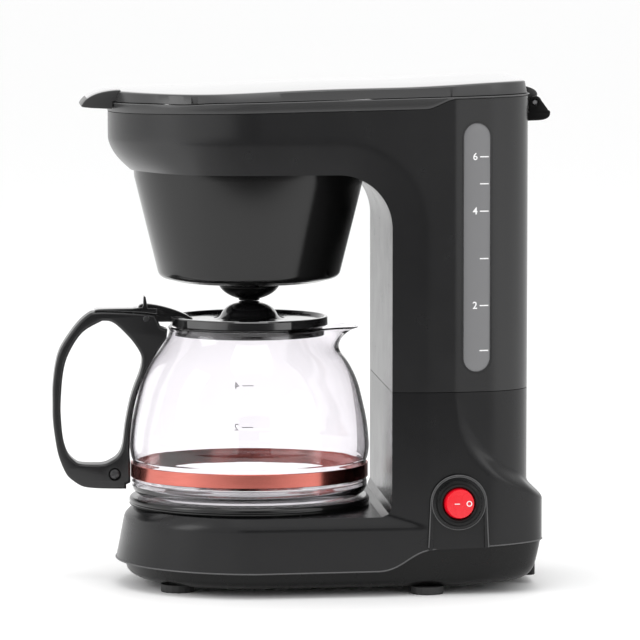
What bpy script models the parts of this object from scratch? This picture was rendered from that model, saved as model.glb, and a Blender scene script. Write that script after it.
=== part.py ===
"""Drip coffee maker with a hinged top lid, brew funnel, drip stop and glass carafe.

Metres, +Z up. The front of the machine faces -Y and its gauge and switch are on +X.
Sizes along the machine are written as distances behind the brew axis (the carafe's
centre line) and moved to the world by BREW_Y, which centres the whole part on Y = 0.
The heights stack up: feet, base, plate, carafe, drip stop, funnel, arm, collar, lid.
"""
import math

import bmesh
import bpy
from mathutils import Matrix, Vector

# ---- Sizes that can be set by themselves

GAP = 0.0003              # between pieces that touch
WALL = 0.0026             # housing walls
FAR = 0.02                # how far a clipping shape runs past what it clips
ROUND = 36                # segments of a large turned piece
SMALL = 16                # segments of a small one

# Plan
ARM_NOSE_CLEAR = 0.0109   # arm's front beyond the widest of jug and funnel flange
ARM_SIDE_CLEAR = 0.0094   # arm's side beyond it
BAY_CLEAR = 0.0064        # column's front behind it
SIDE_RUN = 0.0330         # from the column's front to the ridge, where the straight side ends
BACK_RUN = 0.0405         # from the ridge to the column's back
SIDE_TAPER = 0.0065       # how much narrower each side is at the ridge
FACET_RUN = 0.0195        # length of the flat strip behind the ridge, which holds the gauge
FACET_IN = 0.0045
BACK_NARROWING = 0.0305   # from the ridge to the flat of the back, each side
BASE_BEHIND = 0.0075      # how far the base stands out behind the column
BASE_BESIDE = 0.0060

# Base
FOOT_H = 0.0040
FOOT_R = 0.0088
FOOT_IN = 0.0135          # rear feet, in from the ridge both ways
FRONT_FOOT = (0.0360, -0.0400)
FRONT_SCREW = (0.0400, -0.0180)
REAR_SCREW_IN = 0.0325
SCREW_R = 0.0018
SCREW_HEAD_R = 0.0033
COVER_TAPER = 0.93
COVER_ROUND = 0.0028
SEAM_FRONT_RISE = 0.0085  # seam over the cover's underside, in front of the step
SEAM_STEP = 0.0134
BASE_HEIGHT = 0.0374      # base's top over the cover's underside
BASE_NOSE_SLOPE = 0.0100  # how far the base's nose leans back from the seam to the top
BASE_BACK_RISE = 0.0143
FOOT_FILLET = 0.0055
HEEL_HALF = 0.0200
GLAND_R = 0.0050
GLAND_BORE_R = 0.0022
GLAND_RISE = 0.0138

# Plate and heater
PLATE_RISE = 0.0048       # plate's top over the base's top
PLATE_T = 0.0030
PLATE_LIP = 0.0052
HEATER_R = 0.0052
HEATER_BEND_R = 0.0360
HEATER_OPEN = 48          # degrees from +X to the tube's first leg
SEAT_HALF = 0.0060
CLAMP_T = 0.0020
THERMOSTAT_R = 0.0085
FUSE_R = 0.0022

# Carafe
GLASS_R = 0.0635
GLASS_WALL = 0.0020
GLASS_FLOOR = 0.0026
JUG_HEIGHT = 0.0896
RIM_R = 0.0430
SPOUT_REACH = 0.0155
SPOUT_DEPTH = 0.0124
SPOUT_SPREAD = 0.42
BAND_RISE = 0.0099
BAND_WIDTH = 0.0074
BAND_T = 0.0006
HANDLE_REACH = 0.0405     # handle's front beyond the glass
HANDLE_HALF = 0.0075
LIMB = 0.0038             # handle's inner limb, from the glass to the finger hole
PIN_R = 0.0016
PIN_CLEAR = 0.0001
BOSS_HALF = 0.0036
BOSS_R = 0.0040
LEVER_T = 0.0022
LEVER_REACH = 0.0268
LID_RING_H = 0.0054
LID_DOME_H = 0.0132

# Drip stop, funnel and filter
VALVE_TRAVEL = 0.0030
VALVE_H = 0.0101
DOME_R = 0.0156
DOME_LOW_R = 0.0051
STEM_R = 0.0025
PORT_R = 0.0055
SPRING_R = 0.0040
SPRING_WIRE = 0.0004
SPRING_TURNS = 3
FUNNEL_H = 0.0595         # from the funnel's foot to the arm's underside
FUNNEL_TOP_R = 0.0612
FUNNEL_LOW_R = 0.0479
FUNNEL_FOOT_R = 0.0374
FUNNEL_FOOT_H = 0.0039
FUNNEL_WALL = 0.0020
FLANGE = 0.0024
FUNNEL_RIM = 0.0060
FILTER_WALL = 0.0010

# Arm, column and tank
ARM_H = 0.0309            # from the arm's underside to the collar, at the front
ARM_NOSE = 0.0140
ARCH_R = 0.0280
COLUMN_FOOT_H = 0.0649    # from the base's top to the housing seam
DIVIDER_T = 0.0030
DIVIDER_DROP = 0.0124     # divider's top below the collar
HEAD_R = 0.0200
HEAD_DROP = 0.0054
RISER_R = 0.0042
OUTLET_R = 0.0040
PIPE_HALF = 0.0240
PIPE_BEHIND = 0.0104      # pipes' centres behind the column's front wall
BALL_R = 0.0030
BALL_TRAVEL = 0.0020
CHECK_R = 0.0070
CHECK_H = 0.0110

# Collar and lid
COLLAR_H = 0.0049
COLLAR_RISE = 0.0042
COLLAR_OUT = 0.0008
LID_H = 0.0070
LID_LOW_RISE = 0.0052
LID_TOP_RISE = 0.0034
LID_IN = 0.0004
TAB_HALF = 0.0200
TAB_REACH = 0.0145
BRACKET_HALF = 0.0240
EAR_R = 0.0034
EAR_T = 0.0052
EAR_X = 0.0150

# Gauge and switch
GAUGE_HALF = 0.0078
GAUGE_T = 0.0034
GAUGE_MARGIN = 0.0100     # gauge's low end over the housing seam
GAUGE_DROP = 0.0039       # gauge's top below the collar
BEZEL_LIP = 0.0019        # bezel beyond its sleeve
BEZEL_BODY_R = 0.0101
ROCKER_R = 0.0080
ROCKER_CLEAR = 0.0003
PAD_RIM = 0.0027          # pad beyond the bezel
PAD_RISE = 0.0073         # switch's centre over the base's top

# ---- Sizes that follow from them

FLANGE_R = FUNNEL_TOP_R + FLANGE
WIDEST = max(GLASS_R, FLANGE_R)
ARM_FRONT = -(WIDEST + ARM_NOSE_CLEAR)
ARM_HALF = WIDEST + ARM_SIDE_CLEAR
COLUMN_FRONT = WIDEST + BAY_CLEAR
RIDGE = COLUMN_FRONT + SIDE_RUN
RIDGE_HALF = ARM_HALF - SIDE_TAPER
COLUMN_BACK = RIDGE + BACK_RUN
COLUMN_BACK_HALF = RIDGE_HALF - BACK_NARROWING
BASE_BACK = COLUMN_BACK + BASE_BEHIND
BASE_BACK_HALF = COLUMN_BACK_HALF + BASE_BESIDE
COVER_CENTRE = (ARM_FRONT + BASE_BACK) / 2
HALF = ARM_HALF + 0.0270  # half width of a clipping shape

COVER_LOW = FOOT_H + GAP
SEAM_FRONT = COVER_LOW + SEAM_FRONT_RISE
SEAM_BACK = SEAM_FRONT + SEAM_STEP
BASE_TOP = COVER_LOW + BASE_HEIGHT
BASE_BACK_TOP = BASE_TOP + BASE_BACK_RISE
PLATE_TOP = BASE_TOP + PLATE_RISE
PLATE_UNDER = PLATE_TOP - PLATE_T
PLATE_R = GLASS_R + 0.0002
PLATE_BOSS_R = PLATE_R - PLATE_LIP
HEATER_Z = BASE_TOP - WALL - GAP - HEATER_R
HEATER_END = COLUMN_FRONT - 0.0120
GLAND_Z = SEAM_BACK + GLAND_RISE

JUG_LOW = PLATE_TOP + GAP
RIM_TOP = JUG_LOW + JUG_HEIGHT
BAND_LOW = JUG_LOW + BAND_RISE
BAND_HIGH = BAND_LOW + BAND_WIDTH
BAND_R = GLASS_R - 0.0014 + GAP
LID_RING_TOP = RIM_TOP + LID_RING_H
LID_RING_R = RIM_R - 0.0012
LID_DOME_TOP = RIM_TOP + LID_DOME_H
LID_PIN_AT = (-RIM_R - 0.0117, RIM_TOP + 0.0044)
HANDLE_FRONT = -GLASS_R - HANDLE_REACH
HANDLE_LOW = BAND_LOW - 0.0059
HANDLE_HIGH = LID_PIN_AT[1] + 0.0052
HANDLE_SCREW_AT = (-BAND_R - 0.0092, HANDLE_LOW + 0.0077)

VALVE_LOW = LID_DOME_TOP + GAP
FUNNEL_LOW = VALVE_LOW + VALVE_H
ARM_BOTTOM = FUNNEL_LOW + FUNNEL_H
FLANGE_LOW = ARM_BOTTOM + WALL + GAP
FUNNEL_HIGH = FLANGE_LOW + FUNNEL_RIM
DIVIDER_AT = FLANGE_R + 0.0004
COLLAR_LOW = ARM_BOTTOM + ARM_H
HOUSING_SEAM = BASE_TOP + COLUMN_FOOT_H
DIVIDER_TOP = COLLAR_LOW - DIVIDER_DROP
RISER_TOP = COLLAR_LOW - HEAD_DROP
CHECK_TOP = HOUSING_SEAM - 2 * GAP
CHECK_LOW = CHECK_TOP - CHECK_H
RISER_AT = (PIPE_HALF, COLUMN_FRONT + WALL + PIPE_BEHIND)
OUTLET_AT = (-PIPE_HALF, RISER_AT[1])

LID_LOW = COLLAR_LOW + COLLAR_H
LID_TOP = LID_LOW + LID_H
LID_LOW_BACK = LID_LOW + LID_LOW_RISE
LID_TOP_BACK = LID_TOP + LID_TOP_RISE
ROOF = LID_TOP_BACK + FAR
HINGE_AT = (COLUMN_BACK + 0.0055, LID_LOW_BACK - 0.0055)
HINGE_BACK = HINGE_AT[0] + 0.0080

GAUGE_AT = RIDGE + FACET_RUN - GAUGE_HALF - 0.0006
GAUGE_LOW = HOUSING_SEAM + GAUGE_MARGIN
GAUGE_TOP = COLLAR_LOW - GAUGE_DROP
BEZEL_R = BEZEL_BODY_R + BEZEL_LIP
PAD_R = BEZEL_R + PAD_RIM
PAD_X = RIDGE_HALF + 0.0025
SWITCH_AT = (RIDGE + 0.0015, BASE_TOP + PAD_RISE)
REAR_FOOT = (RIDGE_HALF - FOOT_IN, RIDGE - FOOT_IN)
REAR_SCREW = (RIDGE_HALF - REAR_SCREW_IN, RIDGE - 0.0030)
FOOT_AT = [(side * x, u) for x, u in (FRONT_FOOT, REAR_FOOT) for side in (-1, 1)]
SCREW_AT = [(side * x, u) for x, u in (FRONT_SCREW, REAR_SCREW) for side in (-1, 1)]

BREW_Y = -(HANDLE_FRONT + HINGE_BACK) / 2

# Carafe's shoulder: shares of the way out from rim to belly and up from band to rim
SHOULDER = ((0.220, 0.829), (0.488, 0.718), (0.693, 0.593), (0.829, 0.450), (0.946, 0.289), (1.000, 0.137),
            (0.985, 0.068))

parts = None
cutters = None
root = None


# ---- Making and joining pieces

def start():
    """Empty the scene and make the part's collections and its brew-axis empty."""
    global parts, cutters, root
    for item in list(bpy.data.objects):
        bpy.data.objects.remove(item, do_unlink=True)
    parts = bpy.data.collections.new("drip_coffee_maker")
    cutters = bpy.data.collections.new("cutters")
    cutters.hide_render = True
    for group in (parts, cutters):
        bpy.context.scene.collection.children.link(group)
    root = bpy.data.objects.new("brew_axis", None)
    root.location = (0, BREW_Y, 0)
    parts.objects.link(root)
    bpy.context.view_layer.update()


def material(name, color, roughness, metallic=0.0, transmission=0.0):
    """A Principled material, made once and shared."""
    found = bpy.data.materials.get(name)
    if found:
        return found
    made = bpy.data.materials.new(name)
    made.use_nodes = True
    shader = made.node_tree.nodes["Principled BSDF"]
    shader.inputs["Base Color"].default_value = (*color, 1)
    shader.inputs["Roughness"].default_value = roughness
    shader.inputs["Metallic"].default_value = metallic
    shader.inputs["Transmission Weight"].default_value = transmission
    return made


def black_gloss():
    return material("black_gloss", (0.012, 0.012, 0.013), 0.22)


def black_matte():
    return material("black_matte", (0.02, 0.02, 0.02), 0.6)


def plate_coating():
    return material("coated_plate", (0.02, 0.02, 0.02), 0.25)


def steel():
    return material("steel", (0.55, 0.55, 0.56), 0.3, 1.0)


def aluminium():
    return material("aluminium", (0.7, 0.7, 0.71), 0.4, 1.0)


def copper():
    return material("copper_band", (0.75, 0.36, 0.28), 0.22, 1.0)


def rubber():
    return material("rubber", (0.025, 0.025, 0.025), 0.8)


def silicone():
    return material("silicone", (0.35, 0.36, 0.36), 0.6)


def glass():
    return material("glass", (0.92, 0.93, 0.95), 0.03, 0.0, 1.0)


def gauge_plastic():
    return material("gauge_plastic", (0.22, 0.22, 0.23), 0.25)


def red():
    return material("red", (0.85, 0.01, 0.02), 0.3)


def link(item, group):
    for old in list(item.users_collection):
        old.objects.unlink(item)
    group.objects.link(item)


def settle(item):
    """Turn a curve into a welded mesh at the same place."""
    bpy.context.view_layer.update()
    seen = item.evaluated_get(bpy.context.evaluated_depsgraph_get())
    mesh = bpy.data.meshes.new_from_object(seen)
    shape = bmesh.new()
    shape.from_mesh(mesh)
    bmesh.ops.remove_doubles(shape, verts=shape.verts, dist=1e-6)
    bmesh.ops.recalc_face_normals(shape, faces=shape.faces)
    shape.to_mesh(mesh)
    shape.free()
    made = bpy.data.objects.new("settled", mesh)
    made.matrix_world = item.matrix_world.copy()
    for group in item.users_collection:
        group.objects.link(made)
    bpy.data.objects.remove(item, do_unlink=True)
    bpy.context.view_layer.update()
    return made


def flat(outlines, half):
    """A flat 2D curve with one loop per outline, extruded half each way along local Z."""
    curve = bpy.data.curves.new("outline", "CURVE")
    curve.dimensions = "2D"
    curve.fill_mode = "BOTH"
    curve.extrude = half
    for outline in outlines:
        spline = curve.splines.new("POLY")
        spline.points.add(len(outline) - 1)
        for point, (a, b) in zip(spline.points, outline):
            point.co = (a, b, 0, 1)
        spline.use_cyclic_u = True
    item = bpy.data.objects.new("outline", curve)
    cutters.objects.link(item)
    return item


def plan_prism(outline, low, high):
    """An outline of (x, distance behind the brew axis), standing from low to high."""
    item = flat([outline], (high - low) / 2)
    item.location = (0, BREW_Y, (high + low) / 2)
    return settle(item)


def side_prism(outlines, half, at_x=0.0):
    """Outlines of (distance behind the brew axis, height), extruded across the machine."""
    item = flat(outlines, half)
    item.rotation_euler = (math.pi / 2, 0, math.pi / 2)
    item.location = (at_x, BREW_Y, 0)
    return settle(item)


def turned(profile, at=(0.0, 0.0, 0.0), steps=ROUND, tilt=(0, 0, 0)):
    """A profile of (radius, height) turned about Z; at is (x, behind the axis, height)."""
    shape = bmesh.new()
    points = [shape.verts.new((r, 0, z)) for r, z in profile]
    closed = profile[0][0] > 0
    for first, second in zip(points, points[1:] + points[:1] if closed else points[1:]):
        shape.edges.new((first, second))
    mesh = bpy.data.meshes.new("profile")
    shape.to_mesh(mesh)
    shape.free()
    item = bpy.data.objects.new("turned", mesh)
    cutters.objects.link(item)
    screw = item.modifiers.new("turn", "SCREW")
    screw.steps = steps
    screw.render_steps = steps
    screw.use_merge_vertices = True
    screw.merge_threshold = 0.00001
    item.rotation_euler = tilt
    item.location = (at[0], BREW_Y + at[1], at[2])
    return settle(item)


def rod(radius, start_at, end_at, steps=SMALL):
    """A solid cylinder between two points given as (x, behind the axis, height)."""
    start_v = Vector(start_at)
    along = Vector(end_at) - start_v
    turn = along.to_track_quat("Z", "Y").to_euler()
    profile = [(0, along.length), (radius, along.length), (radius, 0), (0, 0)]
    return turned(profile, start_v, steps, turn)


def box(low, high):
    """A box between two corners given as (x, behind the axis, height)."""
    bpy.ops.mesh.primitive_cube_add(size=1)
    item = bpy.context.object
    size = [b - a for a, b in zip(low, high)]
    middle = [(b + a) / 2 for a, b in zip(low, high)]
    item.data.transform(Matrix.Diagonal((*size, 1)))
    item.location = (middle[0], BREW_Y + middle[1], middle[2])
    link(item, cutters)
    bpy.context.view_layer.update()
    return item


def ball(radius, at, across, rings):
    """A sphere at (x, behind the axis, height)."""
    shape = bmesh.new()
    bmesh.ops.create_uvsphere(shape, u_segments=across, v_segments=rings, radius=radius)
    mesh = bpy.data.meshes.new("ball")
    shape.to_mesh(mesh)
    shape.free()
    item = bpy.data.objects.new("ball", mesh)
    item.location = (at[0], BREW_Y + at[1], at[2])
    cutters.objects.link(item)
    bpy.context.view_layer.update()
    return item


def tube(points, radius, sides=2):
    """A round tube or wire through (x, behind the axis, height) points."""
    curve = bpy.data.curves.new("tube", "CURVE")
    curve.dimensions = "3D"
    curve.bevel_depth = radius
    curve.bevel_resolution = sides
    curve.use_fill_caps = True
    spline = curve.splines.new("POLY")
    spline.points.add(len(points) - 1)
    for point, co in zip(spline.points, points):
        point.co = (*co, 1)
    item = bpy.data.objects.new("tube", curve)
    item.location = (0, BREW_Y, 0)
    cutters.objects.link(item)
    return settle(item)


def combine(item, other, operation):
    """Boolean of item with other, which stays hidden among the cutters."""
    change = item.modifiers.new(operation.lower(), "BOOLEAN")
    change.operation = operation
    change.object = other
    link(other, cutters)
    other.display_type = "WIRE"
    other.hide_render = True
    return item


def cut(item, *others):
    for other in others:
        combine(item, other, "DIFFERENCE")
    return item


def join(item, *others):
    for other in others:
        combine(item, other, "UNION")
    return item


def keep(item, other):
    return combine(item, other, "INTERSECT")


def finish(item, name, look, pivot=None):
    """Name a part, give it its material and put its origin on the joint's axis."""
    item.name = name
    item.data.name = name
    item.data.materials.clear()
    item.data.materials.append(look)
    link(item, parts)
    world = item.matrix_world.copy()
    home = Vector((pivot[0], BREW_Y + pivot[1], pivot[2])) if pivot else world.translation
    item.data.transform(Matrix.Translation(-home) @ world)
    item.parent = root
    item.matrix_parent_inverse = Matrix.Identity(4)
    item.location = home - root.location
    item.rotation_euler = (0, 0, 0)
    bpy.context.view_layer.update()
    return item


# ---- Outlines

def arc(centre, radius, from_deg, to_deg, count):
    """Points of an arc, both ends included."""
    made = []
    for step in range(count + 1):
        angle = math.radians(from_deg + (to_deg - from_deg) * step / count)
        made.append((centre[0] + radius * math.cos(angle), centre[1] + radius * math.sin(angle)))
    return made


def bend(start_at, pull_a, pull_b, end_at, count):
    """Points of a cubic curve, both ends included."""
    made = []
    for step in range(count + 1):
        t = step / count
        weights = ((1 - t) ** 3, 3 * t * (1 - t) ** 2, 3 * t * t * (1 - t), t ** 3)
        made.append(tuple(
            sum(w * p[axis] for w, p in zip(weights, (start_at, pull_a, pull_b, end_at)))
            for axis in range(2)))
    return made


def inset(outline, distance):
    """Move each side of a closed outline inwards, keeping mitred corners."""
    area = sum(a[0] * b[1] - b[0] * a[1] for a, b in zip(outline, outline[1:] + outline[:1]))
    sign = 1 if area > 0 else -1
    made = []
    count = len(outline)
    for index, here in enumerate(outline):
        before = Vector(here) - Vector(outline[index - 1])
        after = Vector(outline[(index + 1) % count]) - Vector(here)
        normal_a = Vector((-before.y, before.x)).normalized() * sign
        normal_b = Vector((-after.y, after.x)).normalized() * sign
        middle = (normal_a + normal_b).normalized()
        reach = distance / max(middle.dot(normal_a), 0.3)
        made.append((here[0] + middle.x * reach, here[1] + middle.y * reach))
    return made


def plan(facet_in, facet_run, back_half, back, steps=20):
    """A plan: round nose, straight tapering side, ridge, flat strip, rounded rear corner."""
    half = []
    for step in range(steps + 1):
        angle = math.pi / 2 * step / steps
        half.append((ARM_HALF * math.sin(angle), ARM_FRONT * math.cos(angle)))
    half.append((RIDGE_HALF, RIDGE))
    strip = (RIDGE_HALF - facet_in, RIDGE + facet_run)
    pull = (strip[0] - 0.16 * (strip[0] - back_half), strip[1] + 0.55 * (back - strip[1]))
    half += bend(strip, pull, (back_half + 0.012, back), (back_half, back), 7)
    return half + [(-x, u) for x, u in reversed(half) if x > 1e-6]


def column_plan():
    return plan(FACET_IN, FACET_RUN, COLUMN_BACK_HALF, COLUMN_BACK)


def base_plan():
    """The base's sides run on past the ridge to a deeper rear corner."""
    return plan(0.0012, 0.0200, BASE_BACK_HALF, BASE_BACK)


def slope(low, high):
    """A height that rises evenly from the arm's front to the column's back."""
    def height(u):
        return low + (high - low) * (u - ARM_FRONT) / (COLUMN_BACK - ARM_FRONT)
    return height


collar_low = slope(COLLAR_LOW, COLLAR_LOW + COLLAR_RISE)
lid_low = slope(LID_LOW, LID_LOW_BACK)
lid_top = slope(LID_TOP, LID_TOP_BACK)


def between(low, high, front=ARM_FRONT - FAR, back=COLUMN_BACK + FAR):
    """Side outline between two sloping heights."""
    return [(front, low(front)), (back, low(back)), (back, high(back)), (front, high(front))]


# ---- Arm, column and lid

def upper_profile(top):
    """Side outline of arm and column, with the round front corner and the arch."""
    nose = bend((ARM_FRONT - FAR, ARM_BOTTOM + ARM_NOSE + FAR * 1.5), (ARM_FRONT, ARM_BOTTOM + ARM_NOSE),
                (ARM_FRONT + 0.0035, ARM_BOTTOM), (ARM_FRONT + 0.0115, ARM_BOTTOM), 6)
    arch = arc((COLUMN_FRONT - ARCH_R, ARM_BOTTOM - ARCH_R), ARCH_R, 90, 0, 8)
    low = HOUSING_SEAM + GAP / 2
    return ([(ARM_FRONT - FAR, top)] + nose + arch
            + [(COLUMN_FRONT, low), (COLUMN_BACK + FAR, low), (COLUMN_BACK + FAR, top)])


def upper_housing():
    """Arm, column and water tank in one open-topped shell with a divider inside."""
    body = plan_prism(column_plan(), HOUSING_SEAM, LID_TOP_BACK)
    keep(body, side_prism([upper_profile(ROOF)], HALF))
    cut(body, side_prism([between(lambda u: collar_low(u) - GAP, lambda u: ROOF)], HALF))
    inner = plan_prism(inset(column_plan(), WALL), HOUSING_SEAM, ROOF)
    keep(inner, side_prism([inset(upper_profile(ROOF + FAR), WALL)], HALF))
    cut(inner, box((-HALF, DIVIDER_AT, 0), (HALF, DIVIDER_AT + DIVIDER_T, DIVIDER_TOP)))
    cut(body, inner)
    hole = (ARM_BOTTOM - 0.55 * ARCH_R, ARM_BOTTOM + 1.5 * WALL)
    cut(body, rod(FUNNEL_TOP_R + 0.001, (0, 0, hole[0]), (0, 0, hole[1]), ROUND))
    cut(body, gauge_prism(GAP))
    for radius, place in ((RISER_R + GAP, RISER_AT), (OUTLET_R, OUTLET_AT)):
        cut(body, rod(radius, (*place, HOUSING_SEAM - FAR / 2), (*place, HOUSING_SEAM + FAR / 2)))
    finish(body, "upper_housing", black_gloss())


def gauge_prism(grow):
    """The round-ended gauge strip, set square to the flat strip behind the ridge."""
    turn = math.atan2(FACET_IN, FACET_RUN)
    reach = GAUGE_HALF + grow
    ends = (arc((0, GAUGE_TOP - GAUGE_HALF), reach, 0, 180, 10)
            + arc((0, GAUGE_LOW + GAUGE_HALF), reach, 180, 360, 10))
    item = flat([ends], GAUGE_T / 2 + grow * 4)
    item.rotation_euler = (math.pi / 2, 0, math.pi / 2 + turn)
    middle = RIDGE_HALF - FACET_IN * (GAUGE_AT - RIDGE) / FACET_RUN
    item.location = (middle - GAUGE_T / 2 + 0.0004, BREW_Y + GAUGE_AT, 0)
    return settle(item)


def gauge_window():
    finish(gauge_prism(0), "gauge_window", gauge_plastic())


def top_collar():
    """Frame round the top opening, between the housing and the lid."""
    body = plan_prism(inset(column_plan(), -COLLAR_OUT), COLLAR_LOW - FAR, LID_TOP_BACK)
    keep(body, side_prism([between(collar_low, lid_low)], HALF))
    cut(body, plan_prism(inset(column_plan(), WALL), COLLAR_LOW - 2 * FAR, ROOF))
    finish(body, "top_collar", black_gloss())


def tab_outline():
    """Side outline of the finger tab, a hooked lip in front of the collar."""
    tip = ARM_FRONT - TAB_REACH
    top = LID_TOP - 0.0006
    hook = COLLAR_OUT + 0.0008
    return (bend((ARM_FRONT + 0.002, top), (ARM_FRONT - 0.005, top), (tip + 0.001, top - 0.003),
                 (tip, top - 0.0082), 8)
            + [(tip + 0.0012, top - 0.0090), (ARM_FRONT - 0.006, top - 0.0075),
               (ARM_FRONT - hook - 0.001, top - 0.0104), (ARM_FRONT - hook, top - 0.0096),
               (ARM_FRONT - hook, top - 0.0048), (ARM_FRONT + 0.002, top - 0.0048)])


def ear_outline():
    """Side outline of a lid ear: from the lid's back edge down round the pin."""
    u, z = HINGE_AT
    low = lid_low(COLUMN_BACK) + 0.0008
    return ([(COLUMN_BACK - 0.004, low), (COLUMN_BACK - 0.004, LID_TOP_BACK - 0.0015),
             (COLUMN_BACK + 0.001, LID_TOP_BACK - 0.0020)]
            + arc(HINGE_AT, EAR_R, 60, -150, 12)
            + [(u - EAR_R - 0.0006, z + 0.001), (COLUMN_BACK + 0.0014, low)])


def pin_bore(at, half):
    """Cutter for a hinge pin's bore across the machine."""
    return rod(PIN_R + PIN_CLEAR, (-half, *at), (half, *at))


def top_lid():
    """One-piece lid: shallow inverted tray with a front finger tab and two rear ears."""
    outer = inset(column_plan(), LID_IN)
    body = plan_prism(outer, COLLAR_LOW, ROOF)
    keep(body, side_prism([between(lambda u: lid_low(u) + GAP, lid_top)], HALF))
    hollow = plan_prism(inset(outer, WALL), COLLAR_LOW - FAR, ROOF)
    keep(hollow, side_prism([between(lambda u: lid_low(u) - FAR, lambda u: lid_top(u) - WALL)], HALF))
    cut(body, hollow)
    join(body, side_prism([tab_outline()], TAB_HALF))
    for side in (-1, 1):
        join(body, side_prism([ear_outline()], EAR_T / 2, side * EAR_X))
    cut(body, pin_bore(HINGE_AT, BRACKET_HALF))
    finish(body, "top_lid", black_gloss(), (0, *HINGE_AT))


def lid_pin():
    reach = BRACKET_HALF - 0.001
    finish(rod(PIN_R, (-reach, *HINGE_AT), (reach, *HINGE_AT)), "lid_pin", steel())


def hinge_bracket():
    """Fixed hinge half on the housing's back: a foot block with two outer ears."""
    u, z = HINGE_AT
    front = COLUMN_BACK + GAP
    foot_top = z - EAR_R - 0.0016
    foot = [(front, z - 0.0100), (HINGE_BACK - 0.002, z - 0.0090), (HINGE_BACK, z - 0.0070),
            (HINGE_BACK, foot_top), (front, foot_top)]
    body = side_prism([foot], BRACKET_HALF)
    ear = [(u - EAR_R, foot_top - 0.001), (HINGE_BACK, foot_top - 0.001),
           (HINGE_BACK - 0.001, foot_top + 0.002)]
    ear += arc(HINGE_AT, EAR_R, 20, 180, 10)
    middle = (BRACKET_HALF + EAR_X + EAR_T / 2 + 2 * GAP) / 2
    for side in (-1, 1):
        join(body, side_prism([ear], BRACKET_HALF - middle, side * middle))
    cut(body, pin_bore(HINGE_AT, HALF))
    finish(body, "hinge_bracket", black_matte())


# ---- Base

def base_profile(low):
    """Side outline of the base: chamfered top, and the ridge's arc down to the back."""
    seam = HOUSING_SEAM - GAP / 2
    drop = seam - BASE_BACK_TOP
    arch = bend((RIDGE, seam), (RIDGE + 0.004, seam - 0.45 * drop),
                (RIDGE + 0.014, BASE_BACK_TOP + 0.16 * drop),
                (BASE_BACK, BASE_BACK_TOP), 8)
    tall = BASE_TOP - SEAM_FRONT
    lean = BASE_NOSE_SLOPE
    return ([(ARM_FRONT - FAR, low), (ARM_FRONT - FAR, SEAM_FRONT), (ARM_FRONT + 0.1 * lean, SEAM_FRONT),
             (ARM_FRONT + 0.5 * lean, BASE_TOP - 0.45 * tall), (ARM_FRONT + 0.8 * lean, BASE_TOP - 0.1 * tall),
             (ARM_FRONT + lean, BASE_TOP), (COLUMN_FRONT - FOOT_FILLET, BASE_TOP),
             (COLUMN_FRONT, BASE_TOP + FOOT_FILLET), (COLUMN_FRONT, seam)]
            + arch + [(BASE_BACK + FAR, BASE_BACK_TOP - 0.001), (BASE_BACK + FAR, low)])


def column_profile(low):
    """Side outline of the column's lower part."""
    top = HOUSING_SEAM - GAP / 2
    return [(COLUMN_FRONT, low), (COLUMN_FRONT, top), (COLUMN_BACK + FAR, top), (COLUMN_BACK + FAR, low)]


def seam_profile(rise, low):
    """Everything below the stepped seam between base and bottom cover."""
    front = SEAM_FRONT + rise
    back = SEAM_BACK + rise
    step = [(COLUMN_FRONT + 0.004, front), (COLUMN_FRONT + 0.011, front + 0.56 * SEAM_STEP),
            (COLUMN_FRONT + 0.022, back - 0.0030)]
    return ([(ARM_FRONT - FAR, low), (ARM_FRONT - FAR, front + 0.001), (0, front)] + step
            + [(BASE_BACK + FAR, back + 0.001), (BASE_BACK + FAR, low)])


def switch_pad():
    """Raised round pad for the switch, with legs running down to the seam."""
    u = SWITCH_AT[0]
    outline = arc(SWITCH_AT, PAD_R, -10, 190, 16) + [(u - PAD_R - 0.0008, 0.0), (u + PAD_R + 0.0008, 0.0)]
    return side_prism([outline], 0.006, PAD_X - 0.006)


def base_housing():
    """Lower housing, open below, with the switch pad and the hole for the hot plate."""
    low = -FAR
    high = HOUSING_SEAM + FAR
    body = plan_prism(base_plan(), low, high)
    keep(body, side_prism([base_profile(low)], HALF))
    column = plan_prism(column_plan(), BASE_TOP, high)
    keep(column, side_prism([column_profile(0)], HALF))
    join(body, column)
    join(body, switch_pad())
    inner = plan_prism(inset(base_plan(), WALL), low - FAR, high)
    keep(inner, side_prism([inset(base_profile(low - FAR), WALL)], HALF))
    inner_column = plan_prism(inset(column_plan(), WALL), BASE_TOP - WALL * 2, high)
    keep(inner_column, side_prism([inset(column_profile(0), WALL)], HALF))
    join(inner, inner_column)
    cut(body, inner)
    cut(body, side_prism([seam_profile(GAP / 2, low - 2 * FAR)], HALF))
    cut(body, rod(PLATE_BOSS_R + 0.0008, (0, 0, BASE_TOP - 2 * WALL), (0, 0, BASE_TOP + WALL), ROUND))
    cut(body, rod(BEZEL_BODY_R + GAP, (PAD_X - 0.03, *SWITCH_AT), (PAD_X + FAR, *SWITCH_AT), 24))
    for place in (RISER_AT, OUTLET_AT):
        cut(body, rod(2 * RISER_R, (*place, HOUSING_SEAM - FAR / 2), (*place, high)))
    cut(body, rod(GLAND_R + GAP, (0, BASE_BACK - FAR, GLAND_Z), (0, BASE_BACK + FAR, GLAND_Z)))
    finish(body, "base_housing", black_gloss())


def narrowed(item, factor, low, high):
    """Draw everything below a height in towards the middle of the base, most at the bottom."""
    for vert in item.data.vertices:
        share = (high - vert.co.z - item.location.z) / (high - low)
        pull = 1 - (1 - factor) * max(0.0, share)
        vert.co.x *= pull
        vert.co.y = COVER_CENTRE + (vert.co.y - COVER_CENTRE) * pull
    return item


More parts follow.
